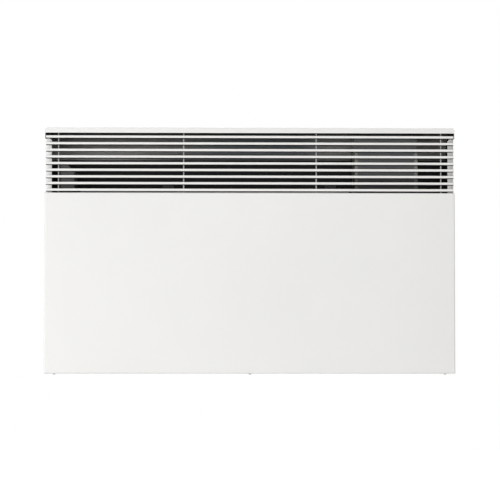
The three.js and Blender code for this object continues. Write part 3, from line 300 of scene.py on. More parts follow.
def rolled(name, colour, metallic=0.75, tint=0.0, rough=(0.36, 0.55), deep=(), painted_light_and_shade=None):
    """Aluminised or bare sheet: mottled, with rolling lines along X and a faint heat tint.

    Painted light and shade are given as the tints of the left end, the middle and the right end,
    which lighten and darken the sheet along X, and the bands of painted shade that the left end
    is free of.
    """
    g = Graph(name, metallic)
    edge = g.soften(0.4 * MM)
    lines = g.noise(1.0, 4.0, 0.65, g.stretched((9.0, 700.0, 700.0)))
    mottle = g.noise(26.0, 5.0, 0.62)
    tone = g.mix(mottle, varied(colour, 0.8), varied(colour, 1.2))
    tone = g.mix(g.span(lines, 0.4, 0.7, 0.0, 0.5), tone, varied(colour, 1.32))
    # Lighter along edges: painted highlight.
    tone = g.mix(g.math("MULTIPLY", edge, 0.45), tone, varied(colour, 1.55))
    if tint:
        level = g.axis("Z")
        band = g.math("ADD", level, g.math("MULTIPLY", g.noise(9.0, 3.0), 0.06))
        near = g.span(band, *HEAT_TINT, 0.0, tint, smooth=True)
        straw = g.mix(g.span(band, *HEAT_BLUE), (0.34, 0.24, 0.13), (0.15, 0.16, 0.27))
        tone = g.mix(near, tone, straw)
    tone = g.deepened(tone, deep)
    # Tints along X paint light and shade; the bands of painted shade are left off at the left end.
    if painted_light_and_shade:
        left_tint, middle_tint, right_tint, bands = painted_light_and_shade
        x = g.axis("X")
        tone = g.mix(g.span(x, *FREE_OF_PAINTED_SHADE, smooth=True), g.deepened(tone, bands), tone)
        light_and_shade_tint = g.mix(g.span(x, *PAINTED_LIGHT_LEFT, smooth=True), middle_tint, left_tint)
        light_and_shade_tint = g.mix(g.span(x, *PAINTED_LIGHT_RIGHT, smooth=True), light_and_shade_tint, right_tint)
        tone = g.vector("MULTIPLY", tone, light_and_shade_tint)
    roughness = g.span(mottle, 0.2, 0.8, *rough)
    return g.finish(tone, roughness, g.bump(lines, 0.04 * MM, 0.45))


def plated(name, colour, second, metallic=0.9, deep=()):
    """Passivated zinc plate, or tempered spring steel: two hues that drift into each other."""
    g = Graph(name, metallic)
    edge = g.soften(0.25 * MM)
    drift = g.noise(140.0, 3.0, 0.6)
    grit = g.noise(2200.0, 2.0, 0.6)
    tone = g.mix(g.span(drift, 0.35, 0.65), colour, second)
    # Lighter along edges: painted highlight.
    tone = g.mix(g.math("MULTIPLY", edge, 0.5), tone, varied(colour, 1.5))
    tone = g.mix(g.span(grit, 0.62, 0.75, 0.0, 0.5), tone, varied(colour, 0.6))
    tone = g.deepened(tone, deep)
    rough = g.span(drift, 0.3, 0.7, 0.26, 0.42)
    return g.finish(tone, rough, g.bump(grit, 0.02 * MM, 0.4))


def moulded(name, colour, rough=0.5, grain=1400.0, relief=0.05, edge_wear_and_highlight=0.25, deep=()):
    """Moulded plastic with a fine spark-eroded grain, a little shinier where it is handled, and
    paler along its edges, partly rubbed wear and partly painted highlight.
    """
    g = Graph(name, Specular_IOR_Level=0.45)
    edge = g.soften(0.35 * MM)
    pits = g.cells(grain)
    drift = g.noise(45.0, 3.0)
    tone = g.mix(g.span(drift, 0.3, 0.7), varied(colour, 0.94), varied(colour, 1.05))
    tone = g.mix(g.span(pits, 0.0, 0.35, 0.22, 0.0), tone, varied(colour, 0.72))
    # Paler along edges: partly rubbed wear, partly painted highlight.
    tone = g.mix(g.math("MULTIPLY", edge, edge_wear_and_highlight), tone, paler(colour, 0.22))
    # Bands of painted shade by height, where they are given.
    tone = g.deepened(tone, deep)
    shine = g.math("SUBTRACT", g.span(drift, 0.3, 0.7, rough - 0.05, rough + 0.06),
                   g.math("MULTIPLY", edge, 0.12))
    return g.finish(tone, shine, g.bump(pits, relief * MM, 0.5))


def fired(name, colour):
    """Steatite: matt and off-white, with pin pores and a few iron specks."""
    g = Graph(name, Specular_IOR_Level=0.5)
    g.soften(0.4 * MM)
    pores = g.cells(900.0)
    specks = g.cells(240.0)
    cloud = g.noise(120.0, 4.0)
    tone = g.mix(cloud, varied(colour, 0.92), varied(colour, 1.04))
    tone = g.mix(g.span(specks, 0.05, 0.1, 0.7, 0.0), tone, (0.30, 0.22, 0.14))
    return g.finish(tone, g.span(cloud, 0.3, 0.7, 0.38, 0.52),
                    g.bump(pores, 0.05 * MM, 0.4))


def laminate(name):
    """The circuit board: green mask with tracks and pads; parts that stand off it differ."""
    g = Graph(name, Specular_IOR_Level=0.5)
    g.soften(0.3 * MM)
    tracks = g.node("ShaderNodeTexBrick", {
        "Vector": g.stretched((1.0, 1.0, 1.0), (math.pi / 2, 0.0, 0.0)), "Scale": 26.0,
        "Mortar Size": 0.03, "Color1": (0.02, 0.14, 0.05), "Color2": (0.018, 0.12, 0.045),
        "Mortar": (0.05, 0.26, 0.09)}, offset=0.5, squash=0.6).outputs["Color"]
    pads = g.span(g.cells(260.0, randomness=0.3), 0.16, 0.2, 1.0, 0.0)
    green = g.mix(pads, tracks, (0.62, 0.60, 0.55))
    board_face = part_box("circuit_board")[1].y - 1.9 * MM
    off_board = g.span(g.axis("Y"), board_face, board_face - 0.3 * MM)
    hue = g.axis("X", g.cells(22.0, output="Color"))
    part = g.mix(g.math("GREATER_THAN", hue, 0.5), (0.03, 0.03, 0.035), (0.70, 0.68, 0.62))
    part = g.mix(g.noise(800.0), (0.2, 0.2, 0.2), part)
    return g.finish(g.mix(off_board, green, part), g.span(g.noise(60.0), 0.3, 0.7, 0.3, 0.45))


def insulation(name, colour, stripe=None):
    """PVC insulation: soft sheen, slight drift of tone, and a second colour on earth leads."""
    g = Graph(name, Specular_IOR_Level=0.5)
    drift = g.noise(160.0, 3.0)
    tone = g.mix(drift, varied(colour, 0.86), varied(colour, 1.12))
    if stripe:
        bands = g.math("SINE", g.math("MULTIPLY", g.axis("X"), 900.0))
        tone = g.mix(g.math("GREATER_THAN", bands, 0.0), tone, stripe)
    ridges = g.noise(1900.0, 2.0)
    return g.finish(tone, g.span(drift, 0.3, 0.7, 0.38, 0.5), g.bump(ridges, 0.03 * MM, 0.3))


LENS_RING = 0.9 * MM          # from one moulded ring to the next


def jewel(name, colour):
    """The pilot lens: clear coloured plastic with moulded rings inside."""
    g = Graph(name, Transmission_Weight=0.55, IOR=1.49, Specular_IOR_Level=0.55)
    radius = g.flat_distance(middle("pilot_lens"))
    rings = g.math("SINE", g.math("MULTIPLY", radius, 2 * math.pi / LENS_RING))
    tone = g.mix(g.span(rings, -1.0, 1.0), varied(colour, 0.75), varied(colour, 1.15))
    return g.finish(tone, g.span(g.noise(400.0), 0.3, 0.7, 0.06, 0.16),
                    g.bump(rings, 0.08 * MM, 0.5))


def printed(name, colour):
    """Pad-printed ink: nearly flat, a touch broken at this scale."""
    g = Graph(name, Specular_IOR_Level=0.3)
    grain = g.noise(1800.0, 3.0, 0.7)
    tone = g.mix(g.span(grain, 0.6, 0.8), colour, paler(colour, 0.2))
    return g.finish(tone, g.span(grain, 0.3, 0.7, 0.5, 0.65))


PAINT = (0.835, 0.828, 0.812)
# A dark inner coat made near black: painted shade for the closed inside of the casing.
INNER_SHADE_COAT = (0.016, 0.016, 0.0165)

MATERIALS = {
    "casing_paint": powder_coat("white_powder_coat", PAINT, INNER_SHADE_COAT),
    "rod_paint": powder_coat("rod_powder_coat", (0.62, 0.615, 0.60), None),
    "galvanised": galvanised("galvanised_sheet", (0.42, 0.43, 0.43)),
    "aluminised": rolled("aluminised_sheet", (0.36, 0.36, 0.355), tint=0.5),
    "element_aluminium": rolled("element_aluminium", (0.56, 0.565, 0.57), 0.9,
                                rough=(0.3, 0.46)),
    "zinc": plated("zinc_plate", (0.50, 0.49, 0.42), (0.43, 0.46, 0.47)),
    "spring_steel": plated("spring_steel", (0.26, 0.27, 0.29), (0.33, 0.30, 0.25)),
    "ceramic": fired("steatite", (0.74, 0.70, 0.61)),
    # The grey plastic's band darkens it towards its foot: painted shade below the grille.
    "housing_plastic": moulded("grey_plastic", (0.128, 0.130, 0.135), 0.55,
                               deep=((0.043, 0.025, 0.08),)),
    "control_plastic": moulded("control_plastic", (0.70, 0.695, 0.67), 0.42, 1800.0, 0.03),
    "black_plastic": moulded("black_plastic", (0.022, 0.022, 0.024), 0.45),
    "pale_plastic": moulded("pale_plastic", (0.72, 0.71, 0.67), 0.46, 1600.0, 0.04),
    "board": laminate("circuit_laminate"),
    "lens": jewel("pilot_lens_red", (0.80, 0.12, 0.03)),
    "wire_brown": insulation("wire_brown", (0.16, 0.055, 0.025)),
    "wire_blue": insulation("wire_blue", (0.03, 0.11, 0.42)),
    "wire_red": insulation("wire_red", (0.42, 0.03, 0.02)),
    "wire_earth": insulation("wire_earth", (0.60, 0.52, 0.04), (0.04, 0.26, 0.06)),
    "wire_grey": insulation("wire_grey", (0.30, 0.31, 0.32)),
}
INK = printed("printing_ink", (0.03, 0.03, 0.032))
RUBBER = moulded("black_rubber", (0.016, 0.016, 0.017), 0.72, 2400.0, 0.03, 0.1)

for row in frame["record"]["subparts"]:
    slots = NODES[row["node"]].data.materials
    slots.clear()
    slots.append(MATERIALS[row["material_slot"]])

# What shows behind the grille gets darker copies of its materials, painted shade for the little
# light that reaches in there, with bands that darken them further towards their foot; the
# catches are near black.
shaded_galvanised = galvanised("shaded_galvanised", (0.085, 0.085, 0.086), 0.2,
                               deep=((0.034, 0.012, 0.5),))
shaded_zinc = plated("shaded_zinc", (0.21, 0.21, 0.155), (0.19, 0.20, 0.19), 0.35,
                     deep=((0.043, 0.025, 0.2),))
blackened_steel = plated("blackened_steel", (0.022, 0.022, 0.024), (0.030, 0.028, 0.024), 0.3)
DARKENED_BEHIND_GRILLE = {
    "side_baffle_left": shaded_galvanised,
    "side_baffle_right": shaded_galvanised,
    "control_channel": shaded_zinc,
    "catch_left": blackened_steel,
    "catch_right": blackened_steel,
}
for node_name, darker_copy in DARKENED_BEHIND_GRILLE.items():
    NODES[node_name].data.materials[0] = darker_copy


# ---- Mesh helpers ------------------------------------------------------------------------

X, Y, Z = Vector((1, 0, 0)), Vector((0, 1, 0)), Vector((0, 0, 1))
BODIES = frame["record"]["behaviour"]["bodies"]


def outward(name, mesh):
    """Mesh data of a closed bmesh, with its faces turned outwards."""
    bmesh.ops.recalc_face_normals(mesh, faces=mesh.faces)
    data = bpy.data.meshes.new(name)
    mesh.to_mesh(data)
    mesh.free()
    return data


def linked(name, data):
    made = bpy.data.objects.new(name, data)
    bpy.context.scene.collection.objects.link(made)
    return made


def keep(name, mesh, material, body, smooth=30.0):
    """Makes a piece of a bmesh whose points are in the frame, and puts it on its body."""
    data = outward(name, mesh)
    data.materials.append(material)
    made = linked(name, data)
    if smooth:
        data.shade_smooth()
        data.set_sharp_from_angle(angle=math.radians(smooth))
    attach(made, body)
    return made


def basis(along, up=None):
    """A turn that takes +Z to `along`."""
    along = Vector(along).normalized()
    up = Vector(up) if up else (Y if abs(along.y) < 0.9 else X)
    side = up.cross(along).normalized()
    return Matrix((side, along.cross(side), along)).transposed().to_4x4()


def join(mesh, one, other):
    """Faces between two rings of as many points."""
    for i in range(len(one)):
        j = (i + 1) % len(one)
        mesh.faces.new((one[i], one[j], other[j], other[i]))


def swept(mesh, low, high):
    """A closed form from one outline to another, both given as points in the frame."""
    low, high = ([mesh.verts.new(point) for point in ring] for ring in (low, high))
    mesh.faces.new(list(reversed(low)))
    mesh.faces.new(high)
    join(mesh, low, high)


def prism(mesh, outline, at, along, depth, up=None):
    """Carries a flat outline of [u, v] pairs from `at` by `depth` along `along`."""
    turn = Matrix.Translation(at) @ basis(along, up)
    swept(mesh, *([turn @ Vector((u, v, w)) for u, v in outline] for w in (0, depth)))


def along_x(mesh, section, x0, x1):
    """Carries a section of [y, z] pairs from x0 to x1."""
    swept(mesh, *([(x, y, z) for y, z in section] for x in (x0, x1)))


def lathe(mesh, profile, at, along=Z, segments=32):
    """Turns [radius, height] pairs about `along` through `at`; a radius of 0 is a pole."""
    turn = Matrix.Translation(at) @ basis(along)
    angles = [2 * math.pi * i / segments for i in range(segments)]
    rings = []
    for radius, height in profile:
        around = angles if radius else angles[:1]
        rings.append([mesh.verts.new(turn @ Vector((radius * math.cos(a), radius * math.sin(a),
                                                    height))) for a in around])
    for low, high in zip(rings, rings[1:]):
        if len(low) == len(high) > 1:
            join(mesh, low, high)
            continue
        for i in range(segments):
            j = (i + 1) % segments
            if len(low) == 1:
                mesh.faces.new((low[0], high[i], high[j]))
            else:
                mesh.faces.new((low[i], low[j], high[0]))


def arc(centre, radius, start, end, steps):
    """Points of an arc in degrees."""
    turns = (math.radians(start + (end - start) * i / steps) for i in range(steps + 1))
    return [(centre[0] + radius * math.cos(a), centre[1] + radius * math.sin(a)) for a in turns]


def rounded(x0, x1, y0, y1, r, steps=4):
    """A rectangle with round corners."""
    return [*arc((x1 - r, y1 - r), r, 0, 90, steps), *arc((x0 + r, y1 - r), r, 90, 180, steps),
            *arc((x0 + r, y0 + r), r, 180, 270, steps), *arc((x1 - r, y0 + r), r, 270, 360, steps)]


def cross_outline(arm, width):
    """A cross recess with arms of that reach and width."""
    w = width / 2
    return [(w, w), (w, arm), (-w, arm), (-w, w), (-arm, w), (-arm, -w),
            (-w, -w), (-w, -arm), (w, -arm), (w, -w), (arm, -w), (arm, w)]


def evaluated_mesh(piece):
    bpy.context.view_layer.update()
    seen = piece.evaluated_get(bpy.context.evaluated_depsgraph_get())
    return bpy.data.meshes.new_from_object(seen)


def carve(piece, cutter_mesh):
    """Cuts a closed bmesh out of a piece, and leaves plain mesh behind."""
    cutter = linked("cutter", outward("cutter", cutter_mesh))
    modifier = piece.modifiers.new("carve", "BOOLEAN")
    modifier.object = cutter
    modifier.solver = "EXACT"
    result = evaluated_mesh(piece)
    piece.modifiers.clear()
    piece.data = result
    bpy.data.objects.remove(cutter)


# ---- Screws ------------------------------------------------------------------------------

PANEL_SCREW = (2.6 * MM, 1.4 * MM, 1.5 * MM)      # head's radius and height, shank's radius
FASCIA_SCREW = (2.3 * MM, 1.4 * MM, 1.2 * MM)
SCREW_POINT = 0.8 * MM


def screw(node, way, sizes):
    """A pan-head screw with a cross recess, in the place of a CAD screw."""
    low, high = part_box(node)
    half = way * abs((high - low).dot(way)) / 2
    reach = 2 * half.length
    r, h, shank = sizes
    mesh = bmesh.new()
    lathe(mesh, [
        (0, 0), (shank * 0.6, 0), (shank, SCREW_POINT), (shank, reach - h), (r, reach - h),
        (r, reach - h * 0.72), (r * 0.93, reach - h * 0.38), (r * 0.74, reach - h * 0.12),
        (r * 0.45, reach), (0, reach),
    ], middle(node) - half, way, 28)
    body = next(name for name, members in BODIES.items() if node in members)
    made = keep(node + "_recessed", mesh, MATERIALS["zinc"], body)
    recess = bmesh.new()
    prism(recess, cross_outline(r * 0.62, r * 0.24), middle(node) + half - way * h * 0.62, way, h)
    carve(made, recess)
    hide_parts(node)


for place in ("left", "middle", "right"):
    screw("panel_screw_" + place, -Z, PANEL_SCREW)
for place in ("left", "right"):
    screw("fascia_screw_" + place, Z, FASCIA_SCREW)


# ---- Grille slats and their welds --------------------------------------------------------

SLATS = sorted(node for node in NODES if node.startswith("slat_"))
RODS = sorted(node for node in NODES if node.startswith("grille_rod_"))
SLAT_RISE = 0.1 * MM          # each face is a little deeper than its CAD slat, both ways
SLAT_FALL = 0.3 * MM
SLAT_FOLD = 1.0 * MM
FOLD_STEPS = 6
WELD = in_mm([(0, -0.7), (0.5, -0.5), (0.75, 0), (0.5, 0.5), (0, 0.7)])
WELD_OFFSET = 0.75 * MM       # from the rod's middle
WELD_BACK = 0.1 * MM          # behind the slat's flanges
WELD_INSET = 0.4 * MM         # from the slat's top and foot


def folded_slat(node):
    """A channel of sheet with round folds: face to the front, both flanges to the back."""
    low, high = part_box(node)
    back = high.y
    top, foot = high.z + SLAT_RISE, low.z - SLAT_FALL
    r, t = SLAT_FOLD, THIN_SHEET
    upper, lower = (low.y + r, top - r), (low.y + r, foot + r)
    section = [(back, top), *arc(upper, r, 90, 180, FOLD_STEPS),
               *arc(lower, r, 180, 270, FOLD_STEPS), (back, foot), (back, foot + t),
               *arc(lower, r - t, 270, 180, FOLD_STEPS),
               *arc(upper, r - t, 180, 90, FOLD_STEPS), (back, top - t)]
    mesh = bmesh.new()
    along_x(mesh, section, low.x, high.x)
    made = keep(node + "_folded", mesh, MATERIALS["casing_paint"], "heater", 40.0)
    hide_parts(node)


def grille_welds():
    """Beads on both sides of each rod, where a slat's two flanges meet it."""
    mesh = bmesh.new()
    for rod in RODS:
        x = middle(rod).x
        for slat in SLATS:
            low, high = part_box(slat)
            for z in (low.z + WELD_INSET, high.z - WELD_INSET):
                for side in (-WELD_OFFSET, WELD_OFFSET):
                    lathe(mesh, WELD, Vector((x + side, high.y + WELD_BACK, z)), Z, 8)
    keep("grille_welds", mesh, MATERIALS["rod_paint"], "heater", 60.0)


for slat_node in SLATS:
    folded_slat(slat_node)
grille_welds()


# ---- Air deflector and the cover in front of the controls' neck --------------------------

DEFLECTOR_FOOT_RISE = 4 * MM      # its foot ends above the CAD sheet's
DEFLECTOR_FOOT_HEIGHT = 12 * MM   # flat part on the casing's back
DEFLECTOR_STEPS = 28
NECK_PLAY = 0.8 * MM
HOUSING_PLAY = 2 * MM
NECK_COVER_RETURN = 10 * MM
NECK_COVER_FOLD = 1.2 * MM
NECK_COVER_DROP = 0.4 * MM        # its top, below the fascia


def deflector_section(above=None, before=None):
    """The curved sheet from the back up to the crest, above a level or before a depth."""
    low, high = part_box("air_deflector")
    foot = low.z + DEFLECTOR_FOOT_RISE
    start = foot + DEFLECTOR_FOOT_HEIGHT
    deep, tall = high.y - low.y, high.z - start
    pairs = [((high.y, foot), (high.y - THIN_SHEET, foot))]
    for i in range(DEFLECTOR_STEPS + 1):
        a = math.pi / 2 * i / DEFLECTOR_STEPS
        pairs.append(((low.y + deep * math.cos(a), start + tall * math.sin(a)),
                      (low.y + (deep - THIN_SHEET) * math.cos(a),
                       start + (tall - THIN_SHEET) * math.sin(a))))
    if above is not None:
        pairs = [pair for pair in pairs if pair[1][1] > above]
    if before is not None:
        pairs = [pair for pair in pairs if pair[0][0] < before]
    return [outer for outer, inner in pairs] + [inner for outer, inner in reversed(pairs)]


def air_deflector(sheet):
    """The CAD sheet, with an opening that follows the control housing and its neck closely."""
    low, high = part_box("air_deflector")
    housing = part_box("control_housing")
    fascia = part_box("control_fascia")
    neck = fascia[0].x - NECK_PLAY, fascia[1].x + NECK_PLAY
    wide = housing[0].x - HOUSING_PLAY, housing[1].x + HOUSING_PLAY
    whole = deflector_section()
    beside = deflector_section(above=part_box("control_channel")[1].z + HOUSING_PLAY)
    in_front = deflector_section(before=fascia[0].y - NECK_PLAY)
    mesh = bmesh.new()
    along_x(mesh, whole, low.x, wide[0])
    along_x(mesh, beside, wide[0], neck[0])
    along_x(mesh, in_front, *neck)
    along_x(mesh, beside, neck[1], wide[1])
    along_x(mesh, whole, wide[1], high.x)
    made = keep("air_deflector_formed", mesh, sheet, "heater", 40.0)
    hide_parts("air_deflector")


def neck_cover(sheet):
    """A shallow channel in front of the controls' neck, in one line with the deflector."""
    low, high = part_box("control_housing")
    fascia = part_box("control_fascia")
    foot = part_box("control_channel")[1].z + HOUSING_PLAY
    top = fascia[0].z - NECK_COVER_DROP
    face = fascia[0].y - NECK_PLAY
    end = face + NECK_COVER_RETURN
    x0, x1 = low.x - HOUSING_PLAY, high.x + HOUSING_PLAY
    t, r = THIN_SHEET, NECK_COVER_FOLD
    left, right = (x0 + r, face + r), (x1 - r, face + r)
    section = [(x0, end), *arc(left, r, 180, 270, 5), *arc(right, r, 270, 360, 5), (x1, end),
               (x1 - t, end), *arc(right, r - t, 360, 270, 5), *arc(left, r - t, 270, 180, 5),
               (x0 + t, end)]
    mesh = bmesh.new()
    swept(mesh, *([(x, y, z) for x, y in section] for z in (foot, top)))
    keep("neck_cover", mesh, sheet, "heater", 40.0)


# The deflector is a darker copy of the aluminised sheet: painted shade. Its band darkens it
# towards the crest, painted shade under the lip; the tints paint light at its ends and shade in
# its middle; the further bands paint shade towards its foot.
deflector_sheet = rolled("shaded_aluminised", (0.20, 0.20, 0.20), 0.2,
                         deep=((0.107, 0.116, 0.2),),
                         painted_light_and_shade=((1.46, 1.43, 1.37), (0.79, 0.86, 0.92), (1.9, 1.86, 1.78),
                                 ((0.090, 0.079, 0.4), (0.078, 0.068, 0.6))))
air_deflector(deflector_sheet)
# The cover's sheet is darkened to the housing's grey: painted shade behind the grille.
neck_cover(rolled("shaded_cover", (0.128, 0.13, 0.133), 0.2))


# ---- Covers over the catches' slots, and the fascia's seal -------------------------------

CAP_DEPTH = 4.5 * MM
CAP_WALL = 0.8 * MM
CAP_REACH_X = 4 * MM          # beyond the catch, each way
CAP_REACH_Z = 7 * MM          # from the catch's top, each way
CAP_CORNER = 2 * MM
CAP_CHAMFER = 0.6 * MM
CAP_SEAT = 1.3 * MM           # behind the end of the catch's tip
SEAL_WALL = 0.5 * MM
SEAL_DROP = 3.2 * MM          # its top, below the fascia's
SEAL_RISE = 0.2 * MM          # its foot, above the fascia's
SEAL_GAP = 0.05 * MM
SEAL_CORNER = 3 * MM


def catch_cover(node):
    """A moulded cap inside the back, round the slot that the catch's tip comes through."""
    low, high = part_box(node)
    seat = low.y + CAP_SEAT
    face = seat - CAP_DEPTH

    def ring(inset, y):
        return [mesh.verts.new((x, y, z)) for x, z in rounded(
            low.x - CAP_REACH_X + inset, high.x + CAP_REACH_X - inset,
            high.z - CAP_REACH_Z + inset, high.z + CAP_REACH_Z - inset, CAP_CORNER - inset)]

    mesh = bmesh.new()
    foot, edge, rim = ring(0, seat), ring(0, face + CAP_CHAMFER), ring(CAP_CHAMFER, face)
    mouth, floor_inside = ring(CAP_WALL, seat), ring(CAP_WALL, face + CAP_WALL)
    mesh.faces.new(rim)
    mesh.faces.new(floor_inside)
    for one, other in ((foot, edge), (edge, rim), (mouth, floor_inside), (foot, mouth)):
        join(mesh, one, other)
    keep(node.replace("catch", "catch_cover"), mesh, MATERIALS["black_plastic"], "heater",
         40.0)


def fascia_seal():
    """A foam band round the fascia's skirt, which closes the gap to the deflector."""
    low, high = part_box("control_fascia")
    top, foot = high.z - SEAL_DROP, low.z + SEAL_RISE
    mesh = bmesh.new()
    rings = []
    for wall, z in ((0, foot), (SEAL_WALL, foot), (SEAL_WALL, top), (0, top)):
        out = SEAL_GAP + wall
        rings.append([mesh.verts.new((x, y, z)) for x, y in rounded(
            low.x - out, high.x + out, low.y - out, high.y + out, SEAL_CORNER + out)])
    for ring, after in zip(rings, rings[1:] + rings[:1]):
        join(mesh, ring, after)
    keep("fascia_seal", mesh, RUBBER, "heater", 40.0)


catch_cover("catch_left")
catch_cover("catch_right")
fascia_seal()


# ---- Dial and rocker markings ------------------------------------------------------------

DIAL_LOW, DIAL_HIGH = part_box("thermostat_dial")
DIAL = middle("thermostat_dial")
GRIP_TOP = DIAL_HIGH.z
CAP_TOP = GRIP_TOP - 1.6 * MM         # the dial's face beside its grip
FASCIA_TOP = DIAL_LOW.z - 0.6 * MM
NUMBERS = range(1, 7)
NUMBER_ON_GRIP = 4
NUMBER_STEP = math.radians(45)
NUMBER_SIZE = 3.6 * MM
NUMBER_RADIUS = 10.7 * MM
NUMBER_RADIUS_ON_GRIP = 9.4 * MM
INK_HEIGHT = 0.12 * MM
STROKE_GAIN = 0.012                   # how much bolder the numbers are, by their size
DOT = in_mm([(0, -0.05), (0.8, -0.05), (0.8, 0.06), (0, 0.06)])
DOT_RADIUS = 9.8 * MM
INDEX = in_mm([(-0.9, -0.7), (0.9, -0.7), (0, 0.8)])
INDEX_RADIUS = 18.0 * MM
INDEX_HEIGHT = 0.1 * MM
BAR = in_mm([(-0.4, -2), (0.4, -2), (0.4, 2), (-0.4, 2)])
BAR_SINK, BAR_HEIGHT = 0.1 * MM, 0.18 * MM
CIRCLE = in_mm([(1.5, -0.1), (2.2, -0.1), (2.2, 0.08), (1.5, 0.08), (1.5, -0.1)])
MARK_RISE = 0.02 * MM
ROCKER_SLOPE_FROM = 3.5 * MM          # from the rocker's middle


def dial_number(number):
    """A plain figure that faces up, with its foot to the dial's rim."""
    angle = NUMBER_STEP * number
    out = Vector((math.sin(angle), -math.cos(angle), 0))
    on_grip = number == NUMBER_ON_GRIP
    at = Vector((DIAL.x, DIAL.y, GRIP_TOP if on_grip else CAP_TOP))
    at += out * (NUMBER_RADIUS_ON_GRIP if on_grip else NUMBER_RADIUS)
    name = f"dial_number_{number}"
    curve = bpy.data.curves.new(name, "FONT")
    curve.body = str(number)
    curve.size = NUMBER_SIZE
    curve.align_x = "CENTER"
    curve.align_y = "CENTER"
    curve.extrude = INK_HEIGHT / 2
    curve.offset = NUMBER_SIZE * STROKE_GAIN
    figure = linked(name, curve)
    data = evaluated_mesh(figure)
    bpy.data.objects.remove(figure)
    data.transform(Matrix.Translation(at) @ basis(Z, -out))
    data.materials.clear()
    data.materials.append(INK)
    made = linked(name, data)
    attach(made, "dial")


def dial_markings():
    for number in NUMBERS:
        dial_number(number)
    dot = bmesh.new()
    lathe(dot, DOT, Vector((DIAL.x, DIAL.y - DOT_RADIUS, GRIP_TOP)), Z, 20)
    keep("dial_off_dot", dot, INK, "dial")
    index = bmesh.new()
    prism(index, INDEX, Vector((DIAL.x, DIAL.y - INDEX_RADIUS, FASCIA_TOP)), Z, INDEX_HEIGHT, Y)
    keep("dial_index", index, INK, "heater", 0)


def rocker_markings():
    """O on the end that is down at rest, and I on the other, each on its own slope."""
    centre = middle("switch_rocker")
    tops = [face for face in NODES["switch_rocker"].data.polygons
            if face.normal.z > 0.7 and face.area > 1e-5]
    for name, way in (("off", -1), ("on", 1)):
        slope = [face for face in tops if (face.center.y - centre.y) * way > ROCKER_SLOPE_FROM]
        y = sum(face.center.y for face in slope) / len(slope)
        z = sum(face.center.z for face in slope) / len(slope)
        normal = sum((face.normal for face in slope), Vector()).normalized()
        at = Vector((centre.x, y, z)) + normal * MARK_RISE
        mesh = bmesh.new()
        if name == "on":
            prism(mesh, BAR, at - normal * BAR_SINK, normal, BAR_HEIGHT)
        else:
            lathe(mesh, CIRCLE, at, normal)
        keep("rocker_mark_" + name, mesh, INK, "rocker", 40.0)


dial_markings()
rocker_markings()


# ---- Back: spot welds, gland seal --------------------------------------------------------

SPOT_WELD = in_mm([(0, 0.02), (1.9, 0.02), (2.3, 0.22), (2.7, 0.02), (2.75, -0.1), (0, -0.1)])
SPOT_WELDED = (               # node, inset from its sides, shares of its height
    ("rear_heat_shield", 4 * MM, (0.06, 0.35, 0.65, 0.94)),
    ("control_channel", 14 * MM, (0.1, 0.9)),
)
GLAND_RING = in_mm([(2.6, -7), (3.95, -7), (3.95, -0.6), (3.6, -0.2), (3.0, -0.4),
                    (2.6, -1.2), (2.6, -7)])


def spot_welds():
    """Shallow rings under the paint where the shield and the channel are welded to the back."""
    mesh = bmesh.new()
    for node, inset, shares in SPOT_WELDED:
        low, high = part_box(node)
        for x in (low.x + inset, high.x - inset):
            for share in shares:
                at = Vector((x, CASING[1].y, low.z + (high.z - low.z) * share))
                lathe(mesh, SPOT_WELD, at, Y, 24)
    keep("back_spot_welds", mesh, MATERIALS["casing_paint"], "heater", 50.0)


def gland_seal():
    """The rubber ring in the cord inlet."""
    centre = middle("cord_gland")
    mesh = bmesh.new()
    lathe(mesh, GLAND_RING, Vector((centre.x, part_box("cord_gland")[1].y, centre.z)), Y)
    keep("gland_seal", mesh, RUBBER, "heater", 40.0)


spot_welds()
gland_seal()


# ---- Floor, lights and world -------------------------------------------------------------

FLOOR_DROP = 1.3              # below the casing
FLOOR_REACH = 14.0
FLOOR_PALE_FROM, FLOOR_PALE_TO = 1.6, 7.0
FLOOR_GLOW = 0.6              # near the heater, where its shadow has to show
AMBIENT = 0.27
LAMPS = (                     # name, place, aim, size, watts
    ("key", (-2.7, -2.4, 0.4), (0, -0.1, -0.1), (2.2, 1.8), 49.0),
    ("low", (-1.5, -2.9, -1.0), (0, -0.1, -0.1), (2.4, 1.0), 22.5),
    ("fill", (0.9, -3.4, -0.2), (0, -0.1, -0.1), (2.2, 1.6), 16.0),
    ("overhead", (-0.6, -1.1, 2.3), (0, -0.1, 0.0), (2.6, 1.6), 18.0),
    ("top", (0.0, 0.5, 2.4), (0, 0.0, 0.0), (2.6, 1.2), 12.0),
    ("behind", (0.6, 2.9, 1.0), (0, 0.0, -0.1), (2.6, 2.0), 32.0),
)


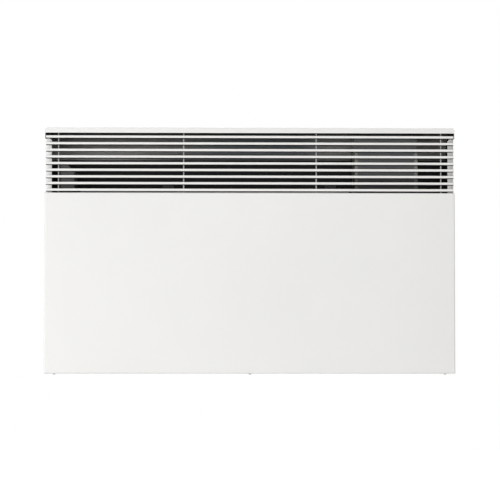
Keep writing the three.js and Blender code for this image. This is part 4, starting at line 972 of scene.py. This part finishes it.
def floor():
    """A pale card that keeps the heater's shadow and fades to the white backdrop far out."""
    g = Graph("floor_card", Specular_IOR_Level=0.1)
    tone = g.mix(g.noise(3.0, 3.0), (0.90, 0.90, 0.895), (0.93, 0.93, 0.925))
    g.finish(tone, 0.9, g.bump(g.noise(900.0, 2.0), 0.05 * MM, 0.2))
    seen = g.node("ShaderNodeLightPath").outputs["Is Camera Ray"]
    glow = g.span(g.flat_distance(), FLOOR_PALE_FROM, FLOOR_PALE_TO, FLOOR_GLOW, 1.0,
                  smooth=True)
    g.feed(g.shader.inputs["Emission Color"], (1.0, 1.0, 1.0))
    g.feed(g.shader.inputs["Emission Strength"], g.math("MULTIPLY", seen, glow))
    data = bpy.data.meshes.new("floor")
    corners = ((-1, -1), (1, -1), (1, 1), (-1, 1))
    level = CASING[0].z - FLOOR_DROP
    data.from_pydata([(x * FLOOR_REACH, y * FLOOR_REACH, level) for x, y in corners], [],
                     [(0, 1, 2, 3)])
    data.materials.append(g.material)
    made = linked("floor", data)


def world():
    """White to the camera and in reflections, and a soft grey light on the object."""
    made = bpy.data.worlds.new("studio")
    bpy.context.scene.world = made
    made.use_nodes = True
    tree = made.node_tree
    background = tree.nodes["Background"]
    background.inputs["Color"].default_value = (1.0, 1.0, 1.0, 1.0)
    path = tree.nodes.new("ShaderNodeLightPath")
    direct = path.outputs["Is Camera Ray"]
    for ray in ("Is Glossy Ray", "Is Transmission Ray"):
        either = tree.nodes.new("ShaderNodeMath")
        either.operation = "MAXIMUM"
        tree.links.new(direct, either.inputs[0])
        tree.links.new(path.outputs[ray], either.inputs[1])
        direct = either.outputs["Value"]
    strength = tree.nodes.new("ShaderNodeMapRange")
    tree.links.new(direct, strength.inputs["Value"])
    strength.inputs["To Min"].default_value = AMBIENT
    strength.inputs["To Max"].default_value = 1.0
    tree.links.new(strength.outputs["Result"], background.inputs["Strength"])


def lamp(name, at, towards, size, power):
    data = bpy.data.lights.new(name, "AREA")
    data.shape = "RECTANGLE"
    data.size, data.size_y = size
    data.energy = power
    made = linked(name, data)
    made.location = at
    made.rotation_euler = (Vector(towards) - Vector(at)).to_track_quat("-Z", "Y").to_euler()


floor()
world()
for settings in LAMPS:
    lamp(*settings)
bpy.context.scene.view_settings.view_transform = "Standard"
